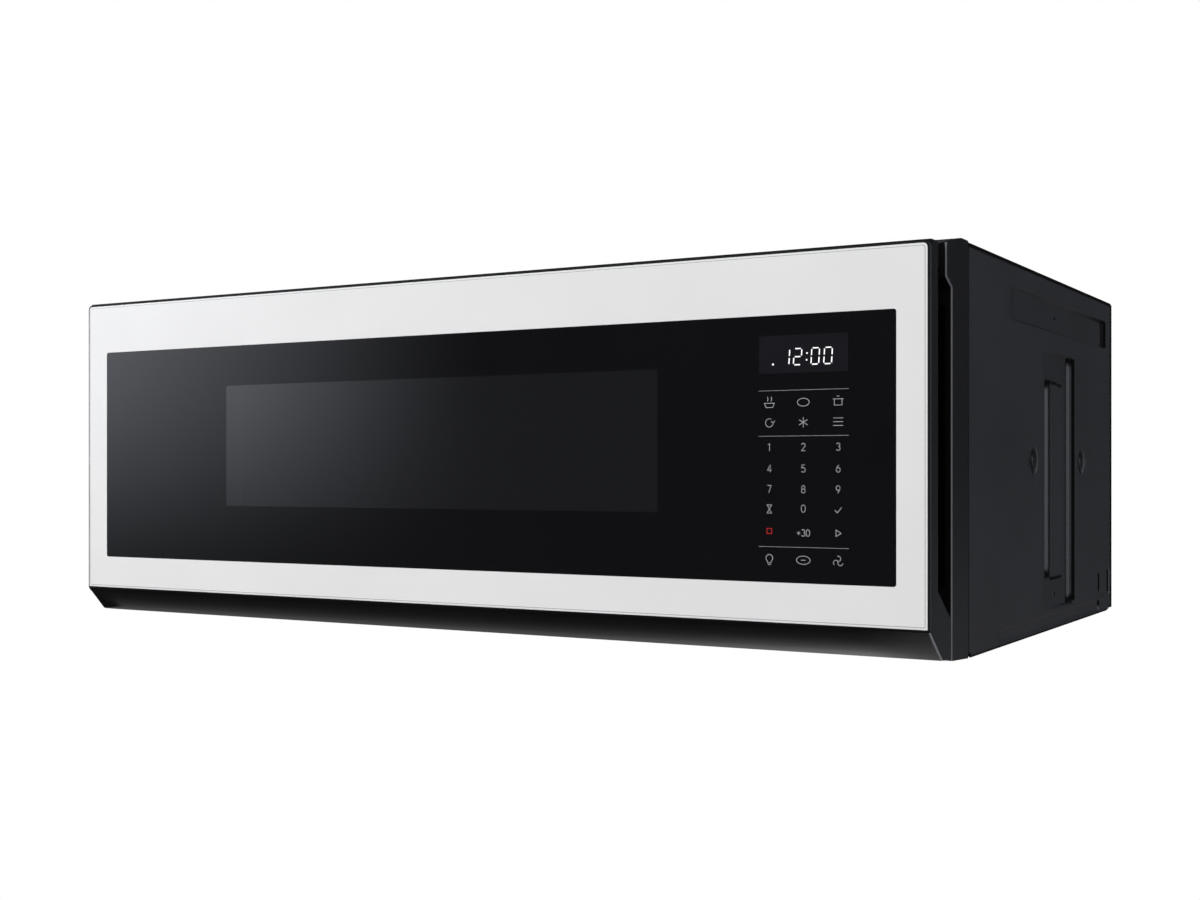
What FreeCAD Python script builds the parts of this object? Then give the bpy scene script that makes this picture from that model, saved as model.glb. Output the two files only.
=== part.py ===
import FreeCAD, Part

import math
import os

# An over-the-range microwave with a low case: an oven with a turntable over a hood with a blower.
# Millimetres. X runs across the front, Y from the door glass back to the wall, Z up from the base.
# While a piece is built, Y is measured from the front of the door glass. save() then moves every
# piece back by half the depth, so that the origin is the middle of the base.

# Overall size
width = 759.0
height = 281.0
depth = 524.0

# Stock and clearances
case_sheet = 1.0
inner_sheet = 1.0
plate_sheet = 1.2
plastic_wall = 2.5
seat_gap = 0.3
pin_clearance = 0.05
screw_radius = 2.0
screw_head_radius = 4.0
screw_head_height = 1.4
screw_length = 9.0
cut_over = 1.0
shaft_hole_gap = 1.0

# Door
glass_thickness = 4.0
glass_bottom = 24.5
glass_top_drop = 9.9
glass_side_inset = 0.1
glass_corner = 3.0
glass_low_corner = 0.8
bezel_thickness = 3.0
bezel_top_rim = 1.4
slant_start = 1.0
slant_run = 25.0
slant_skin = 4.0
door_bottom = 4.0
door_edge_depth = 17.0
door_depth = 44.0
door_gap = 2.0
door_body_drop = 30.0
pull_edge_width = 27.4
flare_top = 49.0
flare_bottom = 29.0
window_side_margin = 54.0
window_rise = 37.85
window_drop = 39.45
window_seat = 12.0
window_lip = 6.0
inner_window_thickness = 2.0
choke_overlap_x = 12.0
choke_overlap_z = 8.0
choke_stand_out = 3.9
steel_frame_depth = 20.0
screen_sheet = 0.6

# Display and touch keys, behind the right end of the glass
key_centre_inset = 85.3
display_width = 62.6
display_height = 24.9
display_drop = 77.8
touch_board_width = 84.0
touch_board_low = 58.0
touch_board_drop = 59.0
board_thickness = 1.6
touch_chip_size = 28.0
touch_chip_height = 4.0
touch_plug_length = 24.0
touch_plug_width = 12.0
touch_plug_height = 7.0
touch_part_margin = 12.0

# Door hinge and latch
hinge_inset = 9.0
hinge_from_front = 36.0
hinge_pin_radius = 2.0
hinge_pin_length = 12.0
hinge_leaf = 1.5
hinge_nose_radius = 5.0
hinge_body_reach = 5.0
hinge_notch_width = 20.0
hinge_notch_height = 5.0
hinge_flange_height = 24.0
hinge_bush_size = 11.0
latch_inset = 79.5
latch_travel = 3.0
hook_thickness = 4.0
hook_height = 8.0
hook_reach = 28.0
hook_nib = 3.0
hook_rise = 90.0
hook_side_gap = 2.0
hook_end_gap = 1.0
latch_spring_radius = 3.2
latch_spring_wire = 1.0
latch_spring_length = 14.0
switch_width = 10.0
switch_depth = 28.0
switch_height = 16.0
switch_button = 4.0

# Front frame and vent grille
frame_depth = 35.0
lip_reach = 12.0
lip_drop = 23.0
lip_chamfer = 6.0
lip_top_drop = 7.0
grille_slope_run = 32.0
cheek_width = 5.0
frame_opening_side = 33.5
frame_opening_low = 18.0
pocket_side_rim = 5.0
pocket_inner_rib = 6.0
pocket_depth = 20.0
pocket_low = 50.0
pocket_drop = 46.0
grille_bays = 9
grille_slots = 3
grille_rib = 6.0
grille_slot_width = 4.0
grille_slot_pitch = 7.5

# Oven cavity
oven_left_margin = 109.5
oven_bay_width = 139.5
cavity_depth = 330.0
cavity_floor = 60.0
cavity_roof_drop = 45.0

# Turntable
tray_radius = 155.0
tray_thickness = 4.0
tray_rim_height = 12.0
tray_rim_width = 14.0
roller_count = 3
roller_radius = 8.0
roller_width = 7.0
roller_circle = 118.0
roller_axle_radius = 2.0
roller_axle_end = 2.0
ring_inner_radius = 98.0
ring_width = 10.0
ring_height = 6.0
coupler_radius = 13.0
coupler_lobe_width = 6.0
coupler_hub_radius = 8.0
coupler_shaft_radius = 4.0
coupler_hub_height = 9.0
turntable_motor_radius = 25.0
turntable_motor_height = 20.0
motor_ear_reach = 8.0
motor_ear_width = 14.0

# Microwave source and oven electrics, in the bay right of the cavity
guide_width = 96.0
guide_height = 62.0
guide_depth = 34.0
guide_above_middle = 2.0
guide_opening = 52.0
mica_thickness = 0.5
mica_margin = 9.0
magnetron_width = 84.0
magnetron_height = 88.0
magnetron_depth = 80.0
magnetron_fins = 7
anode_radius = 20.0
antenna_radius = 9.0
transformer_width = 92.0
transformer_depth = 78.0
transformer_height = 76.0
transformer_step = 12.5
capacitor_length = 92.0
capacitor_width = 50.0
capacitor_height = 32.0
diode_radius = 4.0
diode_length = 26.0
relay_board_height = 118.0
relay_board_length = 94.0
relay_count = 4
relay_pitch = 21.0
relay_width = 15.0
relay_length = 20.0
relay_height = 16.0
board_margin = 9.0
board_transformer_size = 30.0
board_capacitor_radius = 8.0
board_capacitor_length = 22.0
board_plug_length = 50.0
board_plug_size = 12.0
lamp_radius = 11.0
bulb_radius = 7.5
lamp_hole_rows = 4
lamp_hole_pitch = 5.0
lamp_hole_radius = 1.5
lamp_length = 30.0
thermostat_radius = 8.0
thermostat_height = 10.0

# Cooling fan for the magnetron
fan_frame = 104.0
fan_frame_depth = 24.0
fan_radius = 44.0
fan_tip_gap = 2.0
fan_blades = 5
fan_blade_width = 20.0
fan_blade_sheet = 1.6
fan_blade_tilt = 28.0
fan_front_gap = 3.0
fan_spoke_width = 8.0
fan_leg_width = 10.0
fan_leg_inset = 5.0
fan_hub_radius = 14.0
fan_shaft_radius = 2.5
fan_motor_size = 46.0
fan_motor_depth = 30.0
fan_bore_depth = 21.0
fan_from_rear = 110.0

# Hood blower, exhaust and filters
blower_from_rear = 74.0
blower_drop = 85.0
wheel_radius = 48.0
wheel_length = 70.0
wheel_offset = 78.0
wheel_blades = 24
blade_depth = 8.0
wheel_blade_sheet = 1.0
wheel_blade_tilt = 25.0
wheel_disc = 2.0
wheel_boss_wall = 5.0
wheel_boss_length = 16.0
blower_shaft_radius = 4.0
scroll_gap = 6.0
scroll_side_gap = 4.0
inlet_radius = 36.0
blower_motor_radius = 36.0
blower_motor_length = 60.0
collar_width = 254.0
collar_depth = 83.0
collar_height = 18.0
flap_sheet = 1.0
flap_pin_radius = 1.5
flap_drop = 8.0
duct_side_margin = 90.0
charcoal_side_gap = 15.0
charcoal_depth = 120.0
charcoal_height = 16.0
grease_filter_width = 200.0
grease_filter_depth = 150.0
grease_filter_height = 9.0
grease_filter_frame = 8.0
grease_mesh_thickness = 2.5
filter_side_gap = 0.5
grease_filter_offset = 128.0
grease_filter_from_rear = 40.0
lens_width = 92.0
lens_depth = 34.0
lens_thickness = 3.0
lens_bay_gap = 4.0
lens_from_front = 120.0
lamp_box_height = 6.0
led_count = 4
led_size = 5.0
led_height = 2.0

# Outer case: pressed shapes in the sides, as distances from the glass front and heights above the base
case_bend = 2.5
rear_bend = 5.0
rear_step_run = 28.0
front_notch = 5.0
low_step_height = 3.0
rear_flange = 8.0
rear_inset = 8.0
top_recess_low_drop = 44.0
top_recess_high_drop = 19.0
top_recess = (192.0, 496.0, height - top_recess_low_drop, height - top_recess_high_drop)
top_recess_depth = 4.5
side_recess_drop = 62.0
side_recess = (280.0, 372.0, 16.0, height - side_recess_drop)
side_recess_depth = 3.0
rear_rib_drop = 66.0
rear_rib = (365.0, 379.0, 17.0, height - rear_rib_drop)
front_rib_drop = 75.0
front_rib = (296.0, 305.0, 43.0, height - front_rib_drop)
rib_depth = 4.5
low_step = (157.0, 470.0, 3.0, 12.0)
low_step_depth = 0.8
side_screw_places = ((250.5, 134.0), (403.8, 134.0))
dimple_radius = 10.75
dimple_depth = 1.8
tab_slit = (468.0, 492.0, 16.0, 38.0)
slit_width = 1.5
top_hole_drop = 32.0
side_holes = ((321.5, height - top_hole_drop, 2.2), (318.0, 27.0, 2.0), (470.0, 9.0, 1.5))
base_flange = 12.0
top_bolt_radius = 3.3
top_bolt_spacing = 610.0
top_bolt_from_rear = 190.0
nut_size = 12.0
nut_height = 6.0
cord_hole_radius = 11.0
cord_bore_radius = 4.8
cord_from_side = 70.0
cord_from_rear = 60.0
gland_flange_radius = 14.0
gland_height = 6.0

# Wall mounting plate
wall_plate_sheet = 1.5
wall_plate_low = 6.0
wall_plate_drop = 35.0
wall_plate_side_gap = 12.0
lag_hole_radius = 3.5
lag_spacing_x = 406.4
lag_spacing_z = 150.0
wall_foot = 26.0

# Places worked out from the sizes above
half = width / 2
glass_half = half - glass_side_inset
glass_top = height - glass_top_drop
bezel_back = glass_thickness + bezel_thickness
bezel_top = glass_top + bezel_top_rim
bezel_low = glass_bottom - seat_gap
frame_face = door_depth + door_gap
case_front = frame_face + frame_depth
lip_front = frame_face - lip_reach
lip_low = height - lip_drop
door_body_top = height - door_body_drop
pocket_high = height - pocket_drop
display_centre_z = height - display_drop
touch_board_high = height - touch_board_drop
plate_front = frame_face + plastic_wall
plate_back = plate_front + plate_sheet
hinge_x = hinge_inset - half
door_body_left = hinge_x - hinge_body_reach
door_body_right = glass_half - pull_edge_width
cavity_left = oven_left_margin - half
cavity_right = half - oven_bay_width
cavity_centre_x = (cavity_left + cavity_right) / 2
cavity_back = plate_front + cavity_depth
cavity_top = height - cavity_roof_drop
guide_centre_z = (cavity_floor + cavity_top) / 2 + guide_above_middle
cavity_middle_y = plate_front + cavity_depth / 2
choke_left = cavity_left - choke_overlap_x
choke_right = cavity_right + choke_overlap_x
choke_low = cavity_floor - choke_overlap_z
choke_high = cavity_top + choke_overlap_z
door_back_inside = door_depth - plastic_wall
window_left = cavity_left + window_side_margin
window_right = cavity_right - window_side_margin
window_low = cavity_floor + window_rise
window_high = cavity_top - window_drop
window_centre_z = (window_low + window_high) / 2
key_x = half - key_centre_inset
latch_x = half - latch_inset
hook_heights = (window_centre_z - hook_rise / 2, window_centre_z + hook_rise / 2)
latch_bar_back = door_depth - plastic_wall - seat_gap
latch_bar_front = latch_bar_back - hook_height
latch_bar_low = hook_heights[0] - 2 * hook_height + plastic_wall
latch_bar_high = hook_heights[1] + 2 * hook_height
latch_spring_top = latch_bar_high + latch_spring_length
hook_slot_half = hook_thickness / 2 + hook_side_gap
frame_shelf_high = lip_low - lip_chamfer
bay_left = cavity_right + inner_sheet
case_inside = half - case_sheet
rear_panel_back = depth - rear_inset
rear_panel_front = rear_panel_back - inner_sheet
duct_floor = cavity_top + inner_sheet
duct_left = cavity_left + duct_side_margin
duct_right = cavity_right - duct_side_margin
collar_low = height - case_sheet - collar_height
collar_middle_y = depth - blower_from_rear
flap_back = collar_middle_y + collar_depth / 2
flap_z = height - flap_drop
blower_y = depth - blower_from_rear
blower_centre_z = height - blower_drop
scroll_radius = wheel_radius + scroll_gap
fan_y = depth - fan_from_rear
fan_x = (bay_left + case_inside) / 2
fan_centre_z = guide_centre_z
lens_offset = cavity_right - lens_bay_gap - lens_width / 2
guide_right = bay_left + guide_depth
guide_y = cavity_middle_y
roller_z = cavity_floor + seat_gap + roller_radius
tray_low = roller_z + roller_radius + seat_gap
tray_middle = (cavity_centre_x, cavity_middle_y)
wall_plate_front = depth - wall_plate_sheet
door_slant_height = bezel_low - door_bottom


def block(x0, x1, y0, y1, z0, z1):
    """A box between two corners."""
    return Part.makeBox(x1 - x0, y1 - y0, z1 - z0, FreeCAD.Vector(x0, y0, z0))


def rod(direction, radius, start, length):
    """A round bar from start along X, Y or Z."""
    ways = {"x": (1, 0, 0), "y": (0, 1, 0), "z": (0, 0, 1)}
    return Part.makeCylinder(radius, length, FreeCAD.Vector(*start), FreeCAD.Vector(*ways[direction]))


def sleeve(direction, outer, inner, start, length):
    """A round tube from start along X, Y or Z."""
    return rod(direction, outer, start, length).cut(rod(direction, inner, start, length))


def along_x(points, x0, x1):
    """A prism whose end face has the given (y, z) corners."""
    corners = [FreeCAD.Vector(x0, y, z) for y, z in points]
    return Part.Face(Part.makePolygon(corners + corners[:1])).extrude(FreeCAD.Vector(x1 - x0, 0, 0))


def along_z(points, z0, z1):
    """A prism whose end face has the given (x, y) corners."""
    corners = [FreeCAD.Vector(x, y, z0) for x, y in points]
    return Part.Face(Part.makePolygon(corners + corners[:1])).extrude(FreeCAD.Vector(0, 0, z1 - z0))


def joined(shapes):
    """One solid from shapes that touch or overlap."""
    first, *rest = shapes
    return first.multiFuse(rest).removeSplitter() if rest else first


def cut_all(shape, tools):
    """The shape less every tool."""
    return shape.cut(tools[0].multiFuse(tools[1:]) if len(tools) > 1 else tools[0])


def mirrored(shape):
    """The same shape on the other side of the middle plane."""
    return shape.mirror(FreeCAD.Vector(0, 0, 0), FreeCAD.Vector(1, 0, 0))


def frame_of(x0, x1, y0, y1, z0, z1, side, low, high):
    """A rectangular ring standing in the XZ plane, with the given widths of its bars."""
    hole = block(x0 + side, x1 - side, y0, y1, z0 + low, z1 - high)
    return block(x0, x1, y0, y1, z0, z1).cut(hole)


def save(name, shapes):
    """Move the piece to the part's origin and write it."""
    whole = Part.makeCompound(shapes) if isinstance(shapes, list) else shapes
    whole.translate(FreeCAD.Vector(0, -depth / 2, 0))
    whole.exportStep(f"parts/{name}.step")


def slant_y(z, behind=0.0):
    """Distance back of the slanted lower face, or of a parallel line behind it, at a height."""
    return slant_start + behind + slant_run * (bezel_low - z) / door_slant_height


def slant_z(y, behind=0.0):
    """Height at which that line lies at a distance back."""
    return bezel_low - door_slant_height * (y - slant_start - behind) / slant_run


# Door


def door_glass():
    pane = block(-glass_half, glass_half, 0, glass_thickness, glass_bottom, glass_top)
    for radius, z in ((glass_corner, glass_top), (glass_low_corner, glass_bottom)):
        pane = pane.makeFillet(radius, [e for e in pane.Edges if runs_back_at(e, z)])
    return pane


def runs_back_at(edge, z):
    """True for an edge that runs from front to back at the given height."""
    box = edge.BoundBox
    return box.XLength < seat_gap and box.ZLength < seat_gap and abs(box.ZMin - z) < seat_gap


def door_bezel():
    profile = (
        (slant_y(bezel_low), bezel_low),
        (slant_y(door_bottom), door_bottom),
        (slant_y(door_bottom, slant_skin), door_bottom),
        (bezel_back, slant_z(bezel_back, slant_skin)),
        (bezel_back, bezel_top),
        (glass_thickness, bezel_top),
        (glass_thickness, bezel_low),
    )
    bezel = along_x(profile, -glass_half, glass_half)
    window = block(window_left, window_right, 0, bezel_back, window_low, window_high)
    display = block(
        key_x - display_width / 2,
        key_x + display_width / 2,
        0,
        bezel_back,
        display_centre_z - display_height / 2,
        display_centre_z + display_height / 2,
    )
    keys = block(
        key_x - display_width / 2,
        key_x + display_width / 2,
        0,
        bezel_back,
        touch_board_low + plastic_wall,
        display_centre_z - display_height,
    )
    left_end = block(-half, door_body_left, door_edge_depth, door_depth, 0, bezel_low)
    return cut_all(bezel, [window, display, keys, left_end])


def door_housing():
    behind_skin = slant_skin
    low_at_edge = slant_z(door_edge_depth, behind_skin)
    edge = along_x(
        (
            (bezel_back, slant_z(bezel_back, behind_skin)),
            (door_edge_depth, low_at_edge),
            (door_edge_depth, bezel_top),
            (bezel_back, bezel_top),
        ),
        -glass_half,
        glass_half,
    )
    heel = along_x(
        (
            (door_edge_depth, low_at_edge),
            (slant_y(door_bottom, behind_skin), door_bottom),
            (door_depth, door_bottom),
            (door_depth, flare_bottom),
            (door_edge_depth, flare_top),
        ),
        door_body_left,
        glass_half,
    )
    body = block(door_body_left, door_body_right, door_edge_depth, door_depth, flare_top / 2, door_body_top)
    shell = joined([edge, heel, body])
    inside_skin = behind_skin + plastic_wall * math.hypot(slant_run, door_slant_height) / door_slant_height
    floor = door_bottom + plastic_wall
    hollow = along_x(
        (
            (slant_y(floor, inside_skin), floor),
            (door_back_inside, floor),
            (door_back_inside, door_body_top - plastic_wall),
            (0, door_body_top - plastic_wall),
            (0, slant_z(0, inside_skin)),
        ),
        door_body_left + plastic_wall,
        door_body_right - plastic_wall,
    )
    edge_hollow = block(
        plastic_wall - glass_half,
        glass_half - plastic_wall,
        0,
        door_edge_depth - plastic_wall,
        flare_top,
        bezel_top - plastic_wall,
    )
    choke_hole = block(
        choke_left - seat_gap,
        choke_right + seat_gap,
        0,
        door_depth,
        choke_low - seat_gap,
        choke_high + seat_gap,
    )
    tools = [hollow, edge_hollow, choke_hole]
    for z in hook_heights:
        tools.append(hook_slot(z, door_back_inside, door_depth))
    notch_right = hinge_x + hinge_notch_width
    notch_front = hinge_from_front - hinge_nose_radius - door_gap
    upper_notch = block(
        -half, notch_right, notch_front, door_depth, door_body_top - hinge_notch_height, door_body_top
    )
    lower_notch = block(
        -half, notch_right, notch_front, door_depth, door_bottom, door_bottom + hinge_notch_height
    )
    lower_shelf = block(
        door_body_left,
        notch_right + plastic_wall,
        notch_front - plastic_wall,
        door_depth,
        door_bottom + hinge_notch_height,
        door_bottom + hinge_notch_height + plastic_wall,
    )
    upper_shelf = block(
        door_body_left,
        notch_right + plastic_wall,
        notch_front - plastic_wall,
        door_depth,
        door_body_top - hinge_notch_height - plastic_wall,
        door_body_top - hinge_notch_height,
    )
    shell = cut_all(shell, tools)
    shell = joined([shell, lower_shelf, upper_shelf])
    pin_foot = (hinge_x, hinge_from_front, door_bottom)
    pin_hole = rod("z", hinge_pin_radius + seat_gap, pin_foot, door_body_top - door_bottom)
    holes = screw_holes(door_screw_places(), "y", door_depth)
    return cut_all(shell, [upper_notch, lower_notch, pin_hole] + holes)


def hook_slot(z, y0, y1):
    """The hole that a latch hook passes through, tall enough for its travel."""
    low = z - hook_height / 2 - hook_nib - hook_end_gap
    high = z + hook_height / 2 + latch_travel + hook_end_gap
    return block(latch_x - hook_slot_half, latch_x + hook_slot_half, y0, y1, low, high)


def door_screw_places():
    """Centres of the screws in the back of the door, clear of the hinge and the choke."""
    left = (choke_left + door_body_left) / 2
    right = door_body_right - 4 * screw_head_radius
    heights = (choke_low, window_centre_z, choke_high - 2 * screw_head_radius)
    return [(x, z) for x in (left, right) for z in heights]


def screw_holes(places, direction, surface):
    """Clearance holes for screws that enter the surface at the given places."""
    far = screw_length + screw_head_height
    radius = screw_radius + seat_gap
    if direction == "y":
        return [rod("y", radius, (x, surface - far, z), 2 * far) for x, z in places]
    return [rod("x", radius, (surface - far, y, z), 2 * far) for y, z in places]


def door_frame():
    low = door_bottom + hinge_notch_height + plastic_wall + seat_gap
    low_at_plate = max(low, slant_z(steel_frame_depth, slant_skin + 2 * plastic_wall))
    plate = block(
        door_body_left + plastic_wall + seat_gap,
        door_body_right - plastic_wall - seat_gap,
        steel_frame_depth,
        steel_frame_depth + inner_sheet,
        low_at_plate,
        door_body_top - hinge_notch_height - plastic_wall - seat_gap,
    )
    pressing = block(
        window_left - window_lip,
        window_right + window_lip,
        steel_frame_depth,
        steel_frame_depth + inner_sheet - screen_sheet,
        window_low - window_lip,
        window_high + window_lip,
    )
    wall = frame_of(
        choke_left,
        choke_right,
        steel_frame_depth + inner_sheet,
        door_back_inside,
        choke_low,
        choke_high,
        inner_sheet,
        inner_sheet,
        inner_sheet,
    )
    latch_room = block(
        latch_x - hook_thickness,
        latch_x + hook_thickness,
        0,
        door_depth,
        latch_bar_low - plastic_wall,
        latch_spring_top,
    )
    holes = screw_holes(door_screw_places(), "y", steel_frame_depth)
    return cut_all(joined([plate, wall]), [pressing, latch_room] + holes)


def choke_cover():
    back = door_depth + choke_stand_out
    ring = block(choke_left, choke_right, door_back_inside, back, choke_low, choke_high)
    seat = block(
        window_left - window_seat - seat_gap,
        window_right + window_seat + seat_gap,
        door_back_inside,
        door_back_inside + inner_window_thickness,
        window_low - window_seat - seat_gap,
        window_high + window_seat + seat_gap,
    )
    hole = block(
        window_left - window_lip,
        window_right + window_lip,
        door_back_inside,
        back,
        window_low - window_lip,
        window_high + window_lip,
    )
    return cut_all(ring, [seat, hole])


def inner_window():
    return block(
        window_left - window_seat,
        window_right + window_seat,
        door_back_inside,
        door_back_inside + inner_window_thickness,
        window_low - window_seat,
        window_high + window_seat,
    )


def touch_board():
    """The board behind the keys, with its chip low down and its plug near the top."""
    board = block(
        key_x - touch_board_width / 2,
        key_x + touch_board_width / 2,
        bezel_back,
        bezel_back + board_thickness,
        touch_board_low,
        touch_board_high,
    )
    back = bezel_back + board_thickness
    chip = block(
        key_x - touch_chip_size / 2,
        key_x + touch_chip_size / 2,
        back,
        back + touch_chip_height,
        touch_board_low + touch_part_margin,
        touch_board_low + touch_part_margin + touch_chip_size,
    )
    plug_top = touch_board_high - touch_part_margin
    plug = block(
        key_x - touch_plug_length,
        key_x,
        back,
        back + touch_plug_height,
        plug_top - touch_plug_width,
        plug_top,
    )
    return joined([board, chip, plug])


def display_module():
    return block(
        key_x - display_width / 2 + seat_gap,
        key_x + display_width / 2 - seat_gap,
        glass_thickness,
        bezel_back,
        display_centre_z - display_height / 2 + seat_gap,
        display_centre_z + display_height / 2 - seat_gap,
    )


def hinge_bushes():
    """Two plastic bushes in the door that turn on the hinge pins."""
    size = hinge_bush_size / 2
    low = door_bottom + hinge_notch_height + plastic_wall
    high = door_body_top - hinge_notch_height - plastic_wall
    reach = min(hinge_x - door_body_left - plastic_wall, size)
    bushes = []
    for z0, z1 in ((low, low + hinge_pin_length), (high - hinge_pin_length, high)):
        bush = block(hinge_x - reach, hinge_x + size, hinge_from_front - size, door_back_inside, z0, z1)
        bore = rod("z", hinge_pin_radius + pin_clearance, (hinge_x, hinge_from_front, z0), z1 - z0)
        bushes.append(bush.cut(bore))
    return bushes


def hinge_bracket(upper):
    """A steel bracket on the front frame: flange, leaf and the pin that the door turns on."""
    if upper:
        leaf_low = door_body_top - (hinge_notch_height + hinge_leaf) / 2
        flange_low = leaf_low + hinge_leaf - hinge_flange_height
        pin_low = leaf_low - hinge_pin_length
    else:
        leaf_low = door_bottom + (hinge_notch_height - hinge_leaf) / 2
        flange_low = leaf_low
        pin_low = leaf_low + hinge_leaf
    nose = rod("z", hinge_nose_radius, (hinge_x, hinge_from_front, leaf_low), hinge_leaf)
    leaf = block(
        hinge_x - hinge_body_reach / 2,
        hinge_x + hinge_nose_radius,
        hinge_from_front,
        frame_face + hinge_leaf,
        leaf_low,
        leaf_low + hinge_leaf,
    )
    flange = block(
        hinge_x - hinge_body_reach / 2,
        hinge_x + hinge_notch_width - hinge_nose_radius,
        frame_face,
        frame_face + hinge_leaf,
        flange_low,
        flange_low + hinge_flange_height,
    )
    pin = rod("z", hinge_pin_radius, (hinge_x, hinge_from_front, pin_low), hinge_pin_length)
    return joined([leaf, nose, flange, pin])


def latch_lever():
    """A sliding bar in the door with two hooks that reach through the front plate."""
    x0 = latch_x - hook_thickness / 2
    x1 = latch_x + hook_thickness / 2
    pieces = [block(x0, x1, latch_bar_front, latch_bar_back, latch_bar_low, latch_bar_high)]
    tip = door_depth + hook_reach
    for z in hook_heights:
        hook_low = z - hook_height / 2
        pieces.append(block(x0, x1, latch_bar_front, tip, hook_low, hook_low + hook_height))
        nib = (
            (tip - 2 * hook_nib, hook_low),
            (tip, hook_low),
            (tip - hook_nib, hook_low - hook_nib),
            (tip - 2 * hook_nib, hook_low - hook_nib),
        )
        pieces.append(along_x(nib, x0, x1))
    return joined(pieces)


def latch_spring():
    """The spring over the lever, as a plain sleeve of its outer and inner size."""
    start = (latch_x, (latch_bar_front + latch_bar_back) / 2, latch_bar_high)
    inner = latch_spring_radius - latch_spring_wire
    return sleeve("z", latch_spring_radius, inner, start, latch_spring_length)


def latch_guide():
    """The plastic guide in the door that the lever slides in, with the stop over the spring."""
    side = hook_thickness / 2 + seat_gap
    outer = side + plastic_wall
    x0 = latch_x - outer
    x1 = latch_x + outer
    front = latch_bar_front - seat_gap
    stop = latch_bar_low - seat_gap
    pieces = [
        block(x0, x1, front - plastic_wall, front, stop - plastic_wall, latch_spring_top),
        block(x0, latch_x - side, front, door_back_inside, latch_bar_low, latch_spring_top),
        block(latch_x + side, x1, front, door_back_inside, latch_bar_low, latch_spring_top),
    ]
    for z in (latch_spring_top, stop - plastic_wall):
        pieces.append(block(x0, x1, front - plastic_wall, door_back_inside, z, z + plastic_wall))
    spring_foot = (latch_x, (latch_bar_front + latch_bar_back) / 2, latch_bar_high)
    room = rod("z", latch_spring_radius + seat_gap, spring_foot, latch_spring_length)
    return joined(pieces).cut(room)


def screws(places, direction, surface, outward):
    """Pan-head screws whose heads sit on the surface, pointing into it."""
    made = []
    for a, b in places:
        if direction == "y":
            head_start = (a, min(surface, surface + outward * screw_head_height), b)
            shank_start = (a, min(surface, surface - outward * screw_length), b)
        else:
            head_start = (min(surface, surface + outward * screw_head_height), a, b)
            shank_start = (min(surface, surface - outward * screw_length), a, b)
        head = rod(direction, screw_head_radius, head_start, screw_head_height)
        shank = rod(direction, screw_radius, shank_start, screw_length)
        made.append(head.fuse(shank))
    return made


# Front frame and cavity


def cheek_profile():
    return (
        (frame_face, 0),
        (case_front, 0),
        (case_front, height),
        (lip_front + grille_slope_run, height),
        (lip_front, height - lip_top_drop),
        (lip_front, lip_low),
        (frame_face, frame_shelf_high),
    )


def front_frame():
    profile = cheek_profile()
    right_cheek = along_x(profile, half - cheek_width, half)
    opening_half = half - frame_opening_side
    face = frame_of(
        -half,
        half,
        frame_face,
        plate_front,
        0,
        frame_shelf_high,
        half - opening_half,
        frame_opening_low,
        plastic_wall,
    )
    shelf_low = frame_shelf_high - plastic_wall
    shelf = block(-half, half, frame_face, case_front, shelf_low, frame_shelf_high)
    floor = block(-half, half, frame_face, case_front, 0, plastic_wall)
    pocket_right = half - pocket_side_rim
    pocket_left = opening_half + pocket_inner_rib
    pocket_back = frame_face + pocket_depth
    pocket_box = block(
        pocket_left - plastic_wall,
        half,
        frame_face,
        pocket_back + plastic_wall,
        pocket_low - plastic_wall,
        pocket_high + plastic_wall,
    )
    pocket = block(pocket_left, pocket_right, frame_face, pocket_back, pocket_low, pocket_high)
    body = joined([right_cheek, mirrored(right_cheek), face, shelf, floor, pocket_box])
    rebates = []
    for upper in (True, False):
        leaf_low = (
            door_body_top - (hinge_notch_height + hinge_leaf) / 2
            if upper
            else door_bottom + (hinge_notch_height - hinge_leaf) / 2
        )
        low = leaf_low + hinge_leaf - hinge_flange_height if upper else leaf_low
        rebates.append(
            block(
                hinge_x - hinge_body_reach / 2 - seat_gap,
                hinge_x + hinge_notch_width - hinge_nose_radius + seat_gap,
                frame_face,
                frame_face + hinge_leaf,
                low - seat_gap,
                low + hinge_flange_height + seat_gap,
            )
        )
    return cut_all(body, [pocket] + rebates)


def vent_grille():
    """The louvred strip over the door, clipped between the frame's cheeks."""
    x1 = half - cheek_width - seat_gap
    outer = (
        (lip_front, lip_low),
        (frame_face, frame_shelf_high),
        (case_front, frame_shelf_high),
        (case_front, height),
        (lip_front + grille_slope_run, height),
        (lip_front, height - lip_top_drop),
    )
    wall = plastic_wall
    inner = (
        (lip_front + wall, lip_low + wall),
        (frame_face + wall, frame_shelf_high + wall),
        (case_front + wall, frame_shelf_high + wall),
        (case_front + wall, height - wall),
        (lip_front + grille_slope_run, height - wall),
        (lip_front + wall, height - lip_top_drop - wall),
    )
    strip = along_x(outer, -x1, x1)
    bay = 2 * x1 / grille_bays
    tools = []
    for b in range(grille_bays):
        x0 = -x1 + b * bay + grille_rib / 2
        tools.append(along_x(inner, x0, x0 + bay - grille_rib))
        slot_left = x0 + grille_rib / 2
        slot_right = x0 + bay - grille_rib - grille_rib / 2
        for s in range(grille_slots):
            y0 = lip_front + grille_slot_width + s * grille_slot_pitch
            y1 = y0 + grille_slot_width
            tools.append(block(slot_left, slot_right, y0, y1, lip_low + wall, height))
    return cut_all(strip, tools)


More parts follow.
